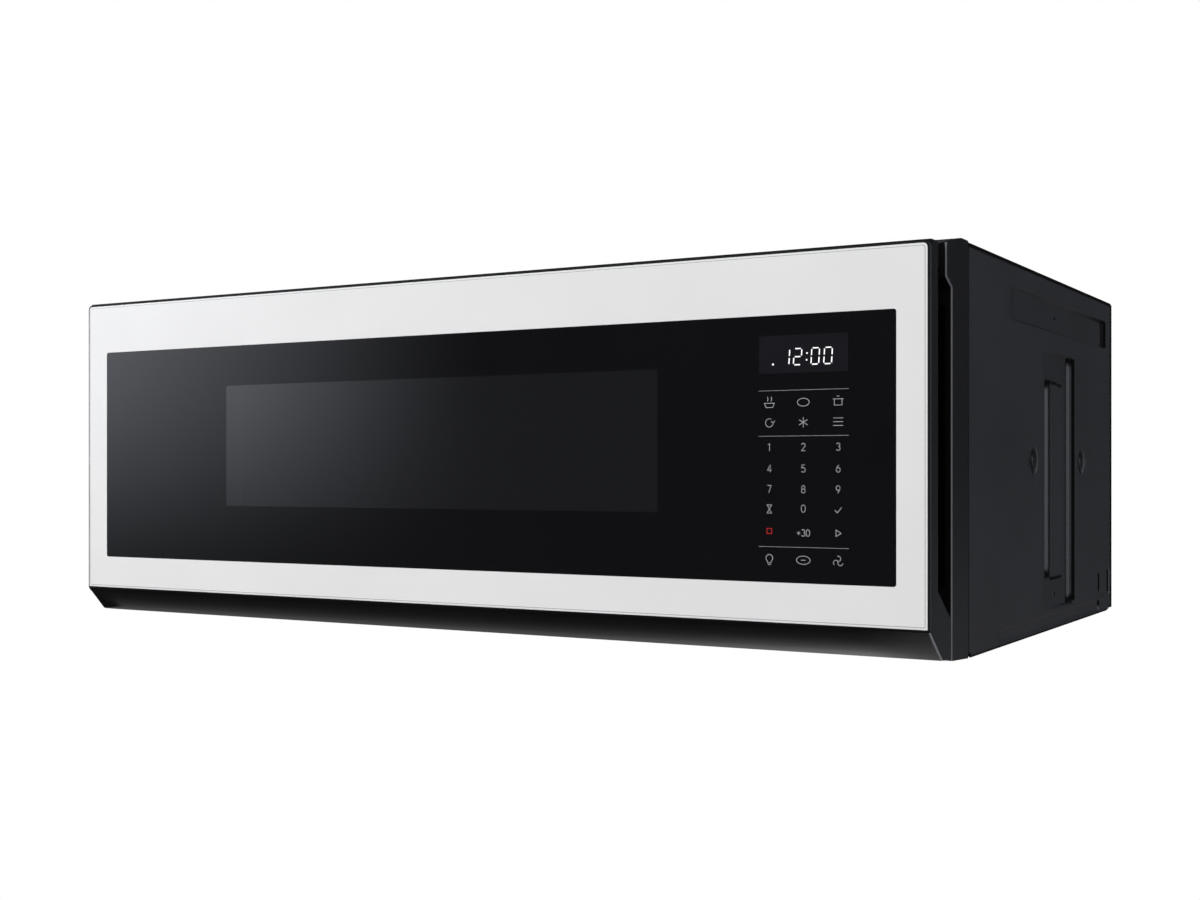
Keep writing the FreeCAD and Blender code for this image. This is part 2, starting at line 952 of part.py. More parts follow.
def cavity():
    """The oven box, spot-welded from sheet, with its front plate."""
    outer = block(
        cavity_left - inner_sheet,
        cavity_right + inner_sheet,
        plate_front,
        cavity_back + inner_sheet,
        cavity_floor - inner_sheet,
        cavity_top + inner_sheet,
    )
    plate_left = seat_gap + cheek_width - half
    plate_right = half - frame_opening_side + pocket_inner_rib - plastic_wall - seat_gap
    plate_high = frame_shelf_high - plastic_wall - seat_gap
    plate = block(plate_left, plate_right, plate_front, plate_back, plastic_wall + seat_gap, plate_high)
    inside = block(cavity_left, cavity_right, plate_front, cavity_back, cavity_floor, cavity_top)
    shell = joined([outer, plate])
    tools = [inside]
    for z in hook_heights:
        tools.append(hook_slot(z, plate_front, plate_back))
    shaft_foot = (*tray_middle, cavity_floor - inner_sheet)
    tools.append(rod("z", coupler_shaft_radius + shaft_hole_gap, shaft_foot, inner_sheet))
    tools.append(
        block(
            cavity_right,
            bay_left,
            guide_y - guide_opening / 2,
            guide_y + guide_opening / 2,
            guide_centre_z - guide_height / 2 + mica_margin,
            guide_centre_z + guide_height / 2 - mica_margin,
        )
    )
    middle = (lamp_hole_rows - 1) / 2
    for row in range(lamp_hole_rows):
        for column in range(lamp_hole_rows):
            y = lamp_y() + (column - middle) * lamp_hole_pitch
            z = lamp_z() + (row - middle) * lamp_hole_pitch
            tools.append(rod("x", lamp_hole_radius, (cavity_right, y, z), inner_sheet))
    return cut_all(shell, tools)


def lamp_y():
    return plate_back + 3 * lamp_radius


def lamp_z():
    return cavity_top - 2 * lamp_radius


def waveguide_cover():
    return block(
        cavity_right - mica_thickness,
        cavity_right,
        guide_y - guide_opening / 2 - mica_margin,
        guide_y + guide_opening / 2 + mica_margin,
        guide_centre_z - guide_height / 2,
        guide_centre_z + guide_height / 2,
    )


def waveguide():
    outer = block(
        bay_left,
        guide_right,
        guide_y - guide_width / 2,
        guide_y + guide_width / 2,
        guide_centre_z - guide_height / 2,
        guide_centre_z + guide_height / 2,
    )
    inner = block(
        bay_left,
        guide_right - inner_sheet,
        guide_y - guide_width / 2 + inner_sheet,
        guide_y + guide_width / 2 - inner_sheet,
        guide_centre_z - guide_height / 2 + inner_sheet,
        guide_centre_z + guide_height / 2 - inner_sheet,
    )
    hole = rod("x", antenna_radius + shaft_hole_gap, (bay_left, guide_y, guide_centre_z), guide_depth)
    return outer.cut(inner).cut(hole)


def magnetron():
    """A finned anode between two magnets in a steel yoke, with its antenna in the waveguide."""
    x1 = guide_right + magnetron_width
    y0 = guide_y - magnetron_depth / 2
    z0 = guide_centre_z - magnetron_height / 2
    yoke = block(guide_right, x1, y0, y0 + magnetron_depth, z0, z0 + magnetron_height)
    sheet = 2 * inner_sheet
    room = block(
        guide_right + sheet, x1 - sheet, y0, y0 + magnetron_depth, z0 + sheet, z0 + magnetron_height - sheet
    )
    pieces = [yoke.cut(room)]
    pieces.append(rod("x", anode_radius, (guide_right, guide_y, guide_centre_z), magnetron_width))
    pitch = (magnetron_width - 2 * sheet) / (magnetron_fins + 1)
    for n in range(1, magnetron_fins + 1):
        x = guide_right + sheet + n * pitch
        pieces.append(block(x, x + inner_sheet, y0, y0 + magnetron_depth, z0, z0 + magnetron_height))
    reach = guide_depth / 2
    pieces.append(rod("x", antenna_radius, (guide_right - reach, guide_y, guide_centre_z), reach))
    return joined(pieces)


def transformer_place():
    """Left, front and base of the transformer, on the base panel in front of the magnetron."""
    x0 = bay_left + 2 * plastic_wall
    y0 = case_front + 3 * plastic_wall
    return x0, y0, case_sheet


def high_voltage_transformer():
    x0, y0, z0 = transformer_place()
    x1, y1, z1 = x0 + transformer_width, y0 + transformer_depth, z0 + transformer_height
    foot = transformer_step
    core = block(x0 + foot, x1 - foot, y0, y1, z0, z1)
    feet = block(x0, x1, y0, y1, z0, z0 + 2 * inner_sheet)
    coil = block(x0, x1, y0 + foot, y1 - foot, z0 + 2 * foot, z1 - foot)
    return joined([core, feet, coil])


def capacitor_place():
    x0, y0, z0 = transformer_place()
    return x0, y0 + transformer_depth + 4 * plastic_wall, z0


def high_voltage_capacitor():
    x0, y0, z0 = capacitor_place()
    radius = capacitor_height / 2
    sides = (x0 + radius, x0 + capacitor_width - radius)
    middle = block(*sides, y0, y0 + capacitor_length, z0, z0 + capacitor_height)
    ends = [rod("y", radius, (x, y0, z0 + radius), capacitor_length) for x in sides]
    return joined([middle] + ends)


def high_voltage_diode():
    x0, y0, z0 = capacitor_place()
    z = z0 + capacitor_height + diode_radius
    y = y0 + capacitor_length / 2
    body = rod("x", diode_radius, (x0 + diode_radius * 2, y, z), diode_length)
    lead = rod("x", diode_radius / 4, (x0 + diode_radius, y, z), diode_length + 2 * diode_radius)
    return body.fuse(lead)


def board_holder():
    """An upright plastic plate on the base that carries the relay board beside the case wall."""
    x1 = case_inside - 4 * plastic_wall
    y0 = case_front + 3 * plastic_wall
    y1 = y0 + relay_board_length
    z1 = cavity_top - plastic_wall
    plate = block(x1 - plastic_wall, x1, y0, y1, case_sheet, z1)
    foot = block(x1 - plastic_wall, x1 + 2 * plastic_wall, y0, y1, case_sheet, case_sheet + plastic_wall)
    return plate.fuse(foot)


def relay_board():
    """A circuit board with a row of relays over a small transformer, a capacitor and a plug."""
    x1 = case_inside - 5 * plastic_wall
    y0 = case_front + 3 * plastic_wall
    z1 = cavity_top - plastic_wall
    z0 = z1 - relay_board_height
    face = x1 - board_thickness
    pieces = [block(face, x1, y0, y0 + relay_board_length, z0, z1)]
    relay_high = z1 - board_margin
    for n in range(relay_count):
        y = y0 + board_margin + n * relay_pitch
        pieces.append(
            block(face - relay_height, face, y, y + relay_width, relay_high - relay_length, relay_high)
        )
    plug_low = z0 + board_margin
    plug_left = y0 + board_margin
    pieces.append(
        block(
            face - board_plug_size,
            face,
            plug_left,
            plug_left + board_plug_length,
            plug_low,
            plug_low + board_plug_size,
        )
    )
    part_low = plug_low + board_plug_size + board_margin
    size = board_transformer_size
    pieces.append(block(face - size, face, plug_left, plug_left + size, part_low, part_low + size))
    pieces.append(
        rod(
            "x",
            board_capacitor_radius,
            (
                face - board_capacitor_length,
                plug_left + size + board_margin + board_capacitor_radius,
                part_low + board_capacitor_radius,
            ),
            board_capacitor_length,
        )
    )
    return joined(pieces)


def cavity_lamp():
    start = (bay_left, lamp_y(), lamp_z())
    base = rod("x", lamp_radius, start, plastic_wall)
    bulb = rod("x", bulb_radius, start, lamp_length)
    return base.fuse(bulb)


def thermostats():
    made = []
    for x in (duct_right + 2 * thermostat_radius, duct_left - 2 * thermostat_radius):
        can = rod("z", thermostat_radius, (x, cavity_middle_y, duct_floor), thermostat_height)
        ear = block(
            x - 2 * thermostat_radius,
            x + 2 * thermostat_radius,
            cavity_middle_y - thermostat_radius / 2,
            cavity_middle_y + thermostat_radius / 2,
            duct_floor,
            duct_floor + inner_sheet,
        )
        made.append(can.fuse(ear))
    return made


def latch_body():
    """The plastic block behind the front plate that takes the hooks and holds the switches."""
    outer = hook_slot_half + plastic_wall
    low = hook_heights[0] - 3 * hook_height
    high = hook_heights[1] + 3 * hook_height
    back = door_depth + hook_reach + 3 * plastic_wall
    body = block(latch_x - outer, latch_x + outer, plate_back, back, low, high)
    return cut_all(body, [hook_slot(z, plate_back, back - plastic_wall) for z in hook_heights])


def interlock_switches():
    """Three snap switches on the side of the latch body, each with its button to the front."""
    x0 = latch_x + hook_slot_half + plastic_wall
    x1 = x0 + switch_width
    middle_x = (x0 + x1) / 2
    face = plate_back + plastic_wall
    made = []
    for z in (*hook_heights, window_centre_z):
        case = block(x0, x1, face, face + switch_depth, z - switch_height / 2, z + switch_height / 2)
        button = block(
            middle_x - switch_button / 2,
            middle_x + switch_button / 2,
            plate_back,
            face,
            z - switch_button / 2,
            z + switch_button / 2,
        )
        made.append(case.fuse(button))
    return made


# Turntable


def turntable_motor():
    x, y = tray_middle
    top = cavity_floor - inner_sheet
    low = top - turntable_motor_height
    can = rod("z", turntable_motor_radius, (x, y, low), turntable_motor_height)
    reach = turntable_motor_radius + motor_ear_reach
    ears = block(
        x - reach, x + reach, y - motor_ear_width / 2, y + motor_ear_width / 2, top - inner_sheet, top
    )
    bore_foot = (x, y, top - turntable_motor_height / 2)
    bore = rod("z", coupler_shaft_radius + pin_clearance, bore_foot, turntable_motor_height / 2)
    return can.fuse(ears).cut(bore)


def turntable_coupler():
    """The three-lobed driver on the motor shaft, under the tray."""
    x, y = tray_middle
    hub_low = cavity_floor + seat_gap
    hub_high = tray_low - seat_gap
    foot = cavity_floor - inner_sheet - turntable_motor_height / 2 + seat_gap
    shaft = rod("z", coupler_shaft_radius, (x, y, foot), hub_high - foot)
    hub = rod("z", coupler_hub_radius, (x, y, hub_low), hub_high - hub_low)
    pieces = [shaft, hub]
    wing = coupler_lobe_width / 2
    for n in range(roller_count):
        lobe = block(x, x + coupler_radius, y - wing, y + wing, hub_high - coupler_hub_height, hub_high)
        lobe.rotate(FreeCAD.Vector(x, y, 0), FreeCAD.Vector(0, 0, 1), 360 * n / roller_count)
        pieces.append(lobe)
    return joined(pieces)


def roller_ring():
    x, y = tray_middle
    outer = ring_inner_radius + ring_width
    low = roller_z - ring_height / 2
    pieces = [sleeve("z", outer, ring_inner_radius, (x, y, low), ring_height)]
    length = roller_circle + roller_width / 2 + roller_axle_end - outer + ring_width / 2
    for n in range(roller_count):
        axle = rod("x", roller_axle_radius, (x + outer - ring_width / 2, y, roller_z), length)
        axle.rotate(FreeCAD.Vector(x, y, 0), FreeCAD.Vector(0, 0, 1), 360 * n / roller_count)
        pieces.append(axle)
    return joined(pieces)


def roller(n):
    x, y = tray_middle
    start = (x + roller_circle - roller_width / 2, y, roller_z)
    wheel = rod("x", roller_radius, start, roller_width)
    bore = rod("x", roller_axle_radius + pin_clearance, start, roller_width)
    wheel = wheel.cut(bore)
    wheel.rotate(FreeCAD.Vector(x, y, 0), FreeCAD.Vector(0, 0, 1), 360 * n / roller_count)
    return wheel


def glass_tray():
    """A pressed glass plate: flat middle, sloping rim."""
    x, y = tray_middle
    flat = tray_radius - tray_rim_width
    lift = tray_rim_height - tray_thickness
    slab = rod("z", flat, (x, y, tray_low), tray_thickness)
    centre = FreeCAD.Vector(x, y, tray_low)
    up = FreeCAD.Vector(0, 0, 1)
    rim = Part.makeCone(flat, tray_radius, tray_rim_height, centre, up)
    dish = Part.makeCone(
        flat - tray_thickness,
        tray_radius - tray_thickness,
        tray_rim_height,
        centre + up * tray_thickness,
        up,
    )
    top = rod("z", 2 * tray_radius, (x, y, tray_low + tray_rim_height), lift + tray_thickness)
    return slab.fuse(rim).cut(dish).cut(top)


# Cooling fan


def cooling_fan_housing():
    """A square plastic frame on two legs, open at both faces, with spokes for the motor."""
    half_frame = fan_frame / 2
    back = fan_y + fan_frame_depth - plastic_wall
    centre = (fan_x, back, fan_centre_z)
    frame = block(
        fan_x - half_frame,
        fan_x + half_frame,
        fan_y,
        fan_y + fan_frame_depth,
        fan_centre_z - half_frame,
        fan_centre_z + half_frame,
    )
    throat = rod("y", fan_radius + fan_tip_gap, (fan_x, fan_y, fan_centre_z), back - fan_y)
    window = rod("y", fan_radius, centre, plastic_wall)
    pieces = [frame.cut(throat).cut(window)]
    pieces.append(rod("y", fan_hub_radius + fan_spoke_width / 2, centre, plastic_wall))
    for across, up in ((fan_spoke_width / 2, fan_radius), (fan_radius, fan_spoke_width / 2)):
        pieces.append(
            block(
                fan_x - across,
                fan_x + across,
                back,
                back + plastic_wall,
                fan_centre_z - up,
                fan_centre_z + up,
            )
        )
    leg_high = fan_centre_z - half_frame
    for side in (-1, 1):
        leg = side * (half_frame - fan_leg_inset - fan_leg_width / 2)
        x0 = fan_x + leg - fan_leg_width / 2
        y1 = fan_y + fan_frame_depth
        pieces.append(block(x0, x0 + fan_leg_width, fan_y, y1, case_sheet, leg_high))
    shaft_hole = rod("y", fan_shaft_radius + shaft_hole_gap, centre, plastic_wall)
    return joined(pieces).cut(shaft_hole)


def cooling_fan_motor():
    back = fan_y + fan_frame_depth
    size = fan_motor_size / 2
    body = block(
        fan_x - size,
        fan_x + size,
        back,
        back + fan_motor_depth,
        fan_centre_z - size,
        fan_centre_z + size,
    )
    bore = rod("y", fan_shaft_radius + pin_clearance, (fan_x, back, fan_centre_z), fan_bore_depth)
    return body.cut(bore)


def cooling_fan_blade():
    """The fan's hub with its pitched blades and the motor's shaft."""
    front = fan_y + fan_front_gap
    span = fan_frame_depth - 2 * plastic_wall - fan_front_gap
    reach = fan_y + fan_frame_depth + fan_bore_depth - seat_gap
    pieces = [
        rod("y", fan_hub_radius, (fan_x, front, fan_centre_z), span),
        rod("y", fan_shaft_radius, (fan_x, front, fan_centre_z), reach - front),
    ]
    middle_y = front + span / 2
    middle = FreeCAD.Vector(fan_x, middle_y, fan_centre_z)
    for n in range(fan_blades):
        blade = block(
            fan_x,
            fan_x + fan_radius - fan_tip_gap,
            middle_y - fan_blade_sheet / 2,
            middle_y + fan_blade_sheet / 2,
            fan_centre_z - fan_blade_width / 2,
            fan_centre_z + fan_blade_width / 2,
        )
        blade.rotate(middle, FreeCAD.Vector(1, 0, 0), fan_blade_tilt)
        blade.rotate(middle, FreeCAD.Vector(0, 1, 0), 360 * n / fan_blades)
        pieces.append(blade)
    keep = rod("y", fan_radius, (fan_x, front, fan_centre_z), reach - front)
    return joined(pieces).common(keep)


# Hood: blower, exhaust, filters, lamps


def blower_housing():
    """Two scrolls that draw air in at their ends and throw it up into the exhaust collar."""
    made = []
    half_length = wheel_length / 2 + scroll_side_gap + inner_sheet
    wall = inner_sheet
    for side in (-1, 1):
        x0 = side * wheel_offset - half_length
        drum = rod("x", scroll_radius + wall, (x0, blower_y, blower_centre_z), 2 * half_length)
        throat = block(
            x0,
            x0 + 2 * half_length,
            blower_y - scroll_radius - wall,
            blower_y + scroll_radius / 2,
            blower_centre_z,
            collar_low,
        )
        room = rod("x", scroll_radius, (x0 + wall, blower_y, blower_centre_z), 2 * (half_length - wall))
        throat_room = block(
            x0 + wall,
            x0 + 2 * half_length - wall,
            blower_y - scroll_radius,
            blower_y + scroll_radius / 2 - wall,
            blower_centre_z,
            collar_low,
        )
        inlets = rod("x", inlet_radius, (x0, blower_y, blower_centre_z), 2 * half_length)
        made.append(drum.fuse(throat).cut(room.fuse(throat_room)).cut(inlets))
    bridge = block(
        -wheel_offset,
        wheel_offset,
        blower_y + scroll_radius + wall,
        rear_panel_front,
        blower_centre_z - scroll_radius / 2,
        blower_centre_z + scroll_radius / 2,
    )
    pads = [
        block(
            side * wheel_offset - half_length,
            side * wheel_offset + half_length,
            blower_y + scroll_radius * 0.8,
            rear_panel_front,
            blower_centre_z - scroll_radius / 4,
            blower_centre_z + scroll_radius / 4,
        ).cut(rod("x", scroll_radius, (-half, blower_y, blower_centre_z), width))
        for side in (-1, 1)
    ]
    return joined(made + [bridge] + pads)


def blower_motor():
    can = rod(
        "x",
        blower_motor_radius,
        (-blower_motor_length / 2, blower_y, blower_centre_z),
        blower_motor_length,
    )
    bore = rod(
        "x",
        blower_shaft_radius + pin_clearance,
        (-blower_motor_length / 2, blower_y, blower_centre_z),
        blower_motor_length,
    )
    strap = block(
        -blower_motor_length / 4,
        blower_motor_length / 4,
        blower_y,
        blower_y + scroll_radius + inner_sheet,
        blower_centre_z - blower_motor_radius / 2,
        blower_centre_z + blower_motor_radius / 2,
    )
    return can.fuse(strap).cut(bore)


def blower_wheel(side):
    """A squirrel-cage wheel: hub disc at the motor end, ring at the inlet end, blades between."""
    middle = side * wheel_offset
    near = middle - side * wheel_length / 2
    far = middle + side * wheel_length / 2
    disc_start = (min(near, near + side * wheel_disc), blower_y, blower_centre_z)
    boss_start = (min(near, near + side * wheel_boss_length), blower_y, blower_centre_z)
    ring_start = (min(far, far - side * wheel_disc), blower_y, blower_centre_z)
    pieces = [
        rod("x", wheel_radius, disc_start, wheel_disc),
        rod("x", blower_shaft_radius + wheel_boss_wall, boss_start, wheel_boss_length),
        sleeve("x", wheel_radius, wheel_radius - blade_depth, ring_start, wheel_disc),
    ]
    centre = FreeCAD.Vector(0, blower_y, blower_centre_z)
    blade_middle = centre + FreeCAD.Vector(0, 0, wheel_radius - blade_depth / 2)
    along = FreeCAD.Vector(1, 0, 0)
    for n in range(wheel_blades):
        blade = block(
            middle - wheel_length / 2,
            middle + wheel_length / 2,
            blower_y - wheel_blade_sheet / 2,
            blower_y + wheel_blade_sheet / 2,
            blower_centre_z + wheel_radius - blade_depth,
            blower_centre_z + wheel_radius - wheel_blade_sheet / 2,
        )
        blade.rotate(blade_middle, along, wheel_blade_tilt)
        blade.rotate(centre, along, 360 * n / wheel_blades)
        pieces.append(blade)
    bore = rod("x", blower_shaft_radius, (-half, blower_y, blower_centre_z), width)
    keep = rod("x", wheel_radius, (-half, blower_y, blower_centre_z), width)
    return joined(pieces).common(keep).cut(bore)


def blower_shaft():
    end = wheel_offset - wheel_length / 2 + wheel_boss_length
    return rod("x", blower_shaft_radius, (-end, blower_y, blower_centre_z), 2 * end)


def exhaust_collar():
    wall = plate_sheet
    x1 = collar_width / 2
    y0 = collar_middle_y - collar_depth / 2
    high = height - case_sheet
    ring = block(-x1 - wall, x1 + wall, y0 - wall, flap_back + wall, collar_low, high)
    hole = block(-x1, x1, y0, flap_back, collar_low, high)
    pins = rod(
        "x",
        flap_pin_radius + pin_clearance,
        (-x1 - wall, flap_back - 2 * flap_pin_radius, flap_z),
        2 * (x1 + wall),
    )
    return cut_all(ring, [hole, pins])


def damper_flap():
    """The sheet flap that the blower lifts and that falls shut when it stops."""
    x1 = collar_width / 2 - 2 * seat_gap
    pin_end = collar_width / 2 + plate_sheet
    y_pin = flap_back - 2 * flap_pin_radius
    sheet = block(
        -x1,
        x1,
        collar_middle_y - collar_depth / 2 + 2 * seat_gap,
        y_pin,
        flap_z - flap_sheet / 2,
        flap_z + flap_sheet / 2,
    )
    pin = rod("x", flap_pin_radius, (-pin_end, y_pin, flap_z), 2 * pin_end)
    return sheet.fuse(pin)


def vent_duct():
    """The trough on top of the cavity that leads recirculated air to the grille."""
    y1 = blower_y - scroll_radius - inner_sheet - seat_gap
    high = height - case_sheet
    pieces = [block(duct_left, duct_right, case_front, y1, duct_floor, duct_floor + inner_sheet)]
    for x in (duct_left, duct_right - inner_sheet):
        pieces.append(block(x, x + inner_sheet, case_front, y1, duct_floor, high))
    return joined(pieces)


def charcoal_filter():
    z0 = duct_floor + inner_sheet
    x0 = duct_left + charcoal_side_gap
    x1 = duct_right - charcoal_side_gap
    y0 = case_front + plastic_wall
    return block(x0, x1, y0, y0 + charcoal_depth, z0, z0 + charcoal_height)


def grease_filter_place(side):
    """Left, front of one grease filter."""
    x0 = side * grease_filter_offset - grease_filter_width / 2
    y0 = rear_panel_front - grease_filter_from_rear - grease_filter_depth
    return x0, y0


def grease_filter(side):
    """An aluminium frame round a pad of mesh, with a finger tab."""
    x0, y0 = grease_filter_place(side)
    x1, y1 = x0 + grease_filter_width, y0 + grease_filter_depth
    low = case_sheet / 2
    high = low + grease_filter_height
    bar = grease_filter_frame
    ring = block(x0, x1, y0, y1, low, high).cut(block(x0 + bar, x1 - bar, y0 + bar, y1 - bar, low, high))
    pad_low = (low + high - grease_mesh_thickness) / 2
    pad = block(x0 + bar, x1 - bar, y0 + bar, y1 - bar, pad_low, pad_low + grease_mesh_thickness)
    middle = (x0 + x1) / 2
    tab = block(middle - 1.5 * bar, middle + 1.5 * bar, y0 + bar, y0 + 2 * bar, low + case_sheet, pad_low)
    return joined([ring, pad, tab])


def base_panel():
    """The bottom pan with openings for the filters and the cooktop lamps."""
    x1 = case_inside - low_step_depth - seat_gap
    y0 = case_front
    y1 = rear_panel_front
    floor = block(-x1, x1, y0, y1, 0, case_sheet)
    sides = [block(x, x + case_sheet, y0, y1, 0, base_flange) for x in (-x1, x1 - case_sheet)]
    rear = block(-x1, x1, y1 - case_sheet, y1, 0, base_flange)
    pan = joined([floor, rear] + sides)
    tools = []
    rims = []
    margin = filter_side_gap
    for side in (-1, 1):
        fx, fy = grease_filter_place(side)
        hole = block(
            fx - margin,
            fx + grease_filter_width + margin,
            fy - margin,
            fy + grease_filter_depth + margin,
            0,
            base_flange,
        )
        rims.append(
            block(
                fx - margin - case_sheet,
                fx + grease_filter_width + margin + case_sheet,
                fy - margin - case_sheet,
                fy + grease_filter_depth + margin + case_sheet,
                0,
                base_flange,
            )
        )
        tools.append(hole)
        lx = side * lens_offset
        tools.append(
            block(
                lx - lens_width / 2 + plastic_wall,
                lx + lens_width / 2 - plastic_wall,
                lens_from_front + plastic_wall,
                lens_from_front + lens_depth - plastic_wall,
                0,
                case_sheet,
            )
        )
    return cut_all(joined([pan] + rims), tools)


def lamp_lens(side):
    x = side * lens_offset
    return block(
        x - lens_width / 2,
        x + lens_width / 2,
        lens_from_front,
        lens_from_front + lens_depth,
        case_sheet,
        case_sheet + lens_thickness,
    )


def lamp_board(side):
    """A plastic box over the lens with a board for its lid and the lamps hanging under that."""
    x0 = side * lens_offset - lens_width / 2
    x1 = x0 + lens_width
    y1 = lens_from_front + lens_depth
    z0 = case_sheet + lens_thickness
    z1 = z0 + lamp_box_height
    board = block(x0, x1, lens_from_front, y1, z1, z1 + board_thickness)
    pieces = [board, frame_in_plan(x0, x1, lens_from_front, y1, z0, z1, plastic_wall)]
    led_y = lens_from_front + (lens_depth - led_size) / 2
    for n in range(1, led_count + 1):
        led_x = x0 + lens_width * n / (led_count + 1) - led_size / 2
        pieces.append(block(led_x, led_x + led_size, led_y, led_y + led_size, z1 - led_height, z1))
    return joined(pieces)


def frame_in_plan(x0, x1, y0, y1, z0, z1, bar):
    """A flat rectangular ring."""
    return block(x0, x1, y0, y1, z0, z1).cut(block(x0 + bar, x1 - bar, y0 + bar, y1 - bar, z0, z1))


# Case


def pressed_ramp(place, deep):
    """Cut and inner bulge of a recess whose floor slopes in from its front edge to its rear."""
    y0, y1, z0, z1 = place
    t = case_sheet
    outside = half + cut_over
    cut = along_z(((outside, y0), (half, y0), (half - deep, y1), (outside, y1)), z0, z1)
    bulge = along_z(
        ((half - t / 2, y0 - t), (half - t / 2, y1 + t), (half - deep - t, y1 + t), (half - t, y0 - t)),
        z0 - t,
        z1 + t,
    )
    return cut, bulge


def pressed_rib(place, deep):
    """Cut and inner bulge of a groove with sloping flanks and round ends."""
    y0, y1, z0, z1 = place
    t = case_sheet
    middle = (y0 + y1) / 2
    flat = (y1 - y0) / 5
    cut = along_z(
        (
            (half + cut_over, y0),
            (half, y0),
            (half - deep, middle - flat),
            (half - deep, middle + flat),
            (half, y1),
            (half + cut_over, y1),
        ),
        z0,
        z1,
    )
    bulge = along_z(
        (
            (half - t / 2, y0 - t),
            (half - deep - t, middle - flat - t),
            (half - deep - t, middle + flat + t),
            (half - t / 2, y1 + t),
        ),
        z0 - t,
        z1 + t,
    )
    return cut, bulge


def pressed_dimple(y, z):
    t = case_sheet
    inward = FreeCAD.Vector(-1, 0, 0)
    bottom = dimple_radius / 2
    cut = Part.makeCone(dimple_radius, bottom, dimple_depth, FreeCAD.Vector(half, y, z), inward)
    bulge = Part.makeCone(dimple_radius + t, bottom + t, dimple_depth, FreeCAD.Vector(half - t, y, z), inward)
    return cut, bulge


def side_tools():
    """Everything pressed or punched in the right side: cuts and bulges."""
    cuts = []
    bulges = []
    for cut, bulge in (
        pressed_ramp(top_recess, top_recess_depth),
        pressed_ramp(side_recess, side_recess_depth),
        pressed_rib(rear_rib, rib_depth),
        pressed_rib(front_rib, rib_depth),
        pressed_ramp(low_step, low_step_depth),
        *[pressed_dimple(y, z) for y, z in side_screw_places],
    ):
        cuts.append(cut)
        bulges.append(bulge)
    reach = 3 * rib_depth
    for y, z, radius in side_holes:
        cuts.append(rod("x", radius, (half - reach, y, z), 2 * reach))
    for y, z in side_screw_places:
        cuts.append(rod("x", screw_radius + seat_gap, (half - reach, y, z), 2 * reach))
    y0, y1, z0, z1 = tab_slit
    for y in (y0, y1 - slit_width):
        cuts.append(block(half - reach, half + cut_over, y, y + slit_width, z0, z1))
    return cuts, bulges


def bent_block(x1, y1, z1, sheet):
    """A block with the bends of the wrapper rounded, the sheet's thickness further in."""
    solid = block(-x1, x1, case_front, y1, 0, z1)
    solid = solid.makeFillet(case_bend - sheet, [e for e in solid.Edges if runs_back_at(e, z1)])
    rear = [e for e in solid.Edges if e.BoundBox.YMin > y1 - seat_gap and e.BoundBox.XLength > half]
    return solid.makeFillet(rear_bend - sheet, [e for e in rear if e.BoundBox.ZMin > z1 - seat_gap])


def outer_case():
    """The wrapper: one sheet bent over the top and down both sides, with pressed ribs."""
    outer = bent_block(half, depth, height, 0)
    inner = bent_block(case_inside, depth - case_sheet, height - case_sheet, case_sheet)
    rear_opening = block(
        rear_flange - case_inside,
        case_inside - rear_flange,
        depth - 2 * case_sheet,
        depth,
        0,
        height - case_sheet - rear_flange,
    )
    shell = outer.cut(inner).cut(rear_opening)
    cuts, bulges = side_tools()
    shell = joined([shell, *bulges, *[mirrored(b) for b in bulges]])
    tools = cuts + [mirrored(c) for c in cuts]
    tools.append(block(-half, half, depth - rear_step_run, depth, 0, low_step_height))
    tools.append(block(-half, half, case_front, case_front + front_notch, 0, low_step_height))
    x1 = collar_width / 2
    under = height - case_sheet - cut_over
    through = case_sheet + 2 * cut_over
    tools.append(block(-x1, x1, collar_middle_y - collar_depth / 2, flap_back, under, under + through))
    for side in (-1, 1):
        tools.append(rod("z", top_bolt_radius, (side * top_bolt_spacing / 2, top_bolt_y(), under), through))
    tools.append(rod("z", cord_hole_radius, (cord_x(), cord_y(), under), through))
    return cut_all(shell, tools)


def top_bolt_y():
    return depth - top_bolt_from_rear


def cord_x():
    return half - cord_from_side


def cord_y():
    return depth - cord_from_rear


def mounting_nuts():
    """Weld nuts under the top that take the bolts from the cabinet above."""
    made = []
    z0 = height - case_sheet - nut_height
    y0 = top_bolt_y() - nut_size / 2
    for side in (-1, 1):
        x = side * top_bolt_spacing / 2
        x0 = x - nut_size / 2
        nut = block(x0, x0 + nut_size, y0, y0 + nut_size, z0, z0 + nut_height)
        made.append(nut.cut(rod("z", top_bolt_radius, (x, top_bolt_y(), z0), nut_height)))
    return made


def cord_gland():
    """The bush in the top where the supply cord leaves."""
    under = height - case_sheet
    neck = rod("z", cord_hole_radius - seat_gap, (cord_x(), cord_y(), under), case_sheet)
    below = rod("z", gland_flange_radius, (cord_x(), cord_y(), under - gland_height), gland_height)
    bore = rod("z", cord_bore_radius, (cord_x(), cord_y(), collar_low), 2 * collar_height)
    return neck.fuse(below).cut(bore)


def rear_panel():
    x1 = case_inside - seat_gap
    z1 = height - case_sheet - seat_gap
    panel = block(-x1, x1, rear_panel_front, rear_panel_back, 0, z1)
    return panel.makeFillet(case_bend, [e for e in panel.Edges if runs_back_at(e, z1)])


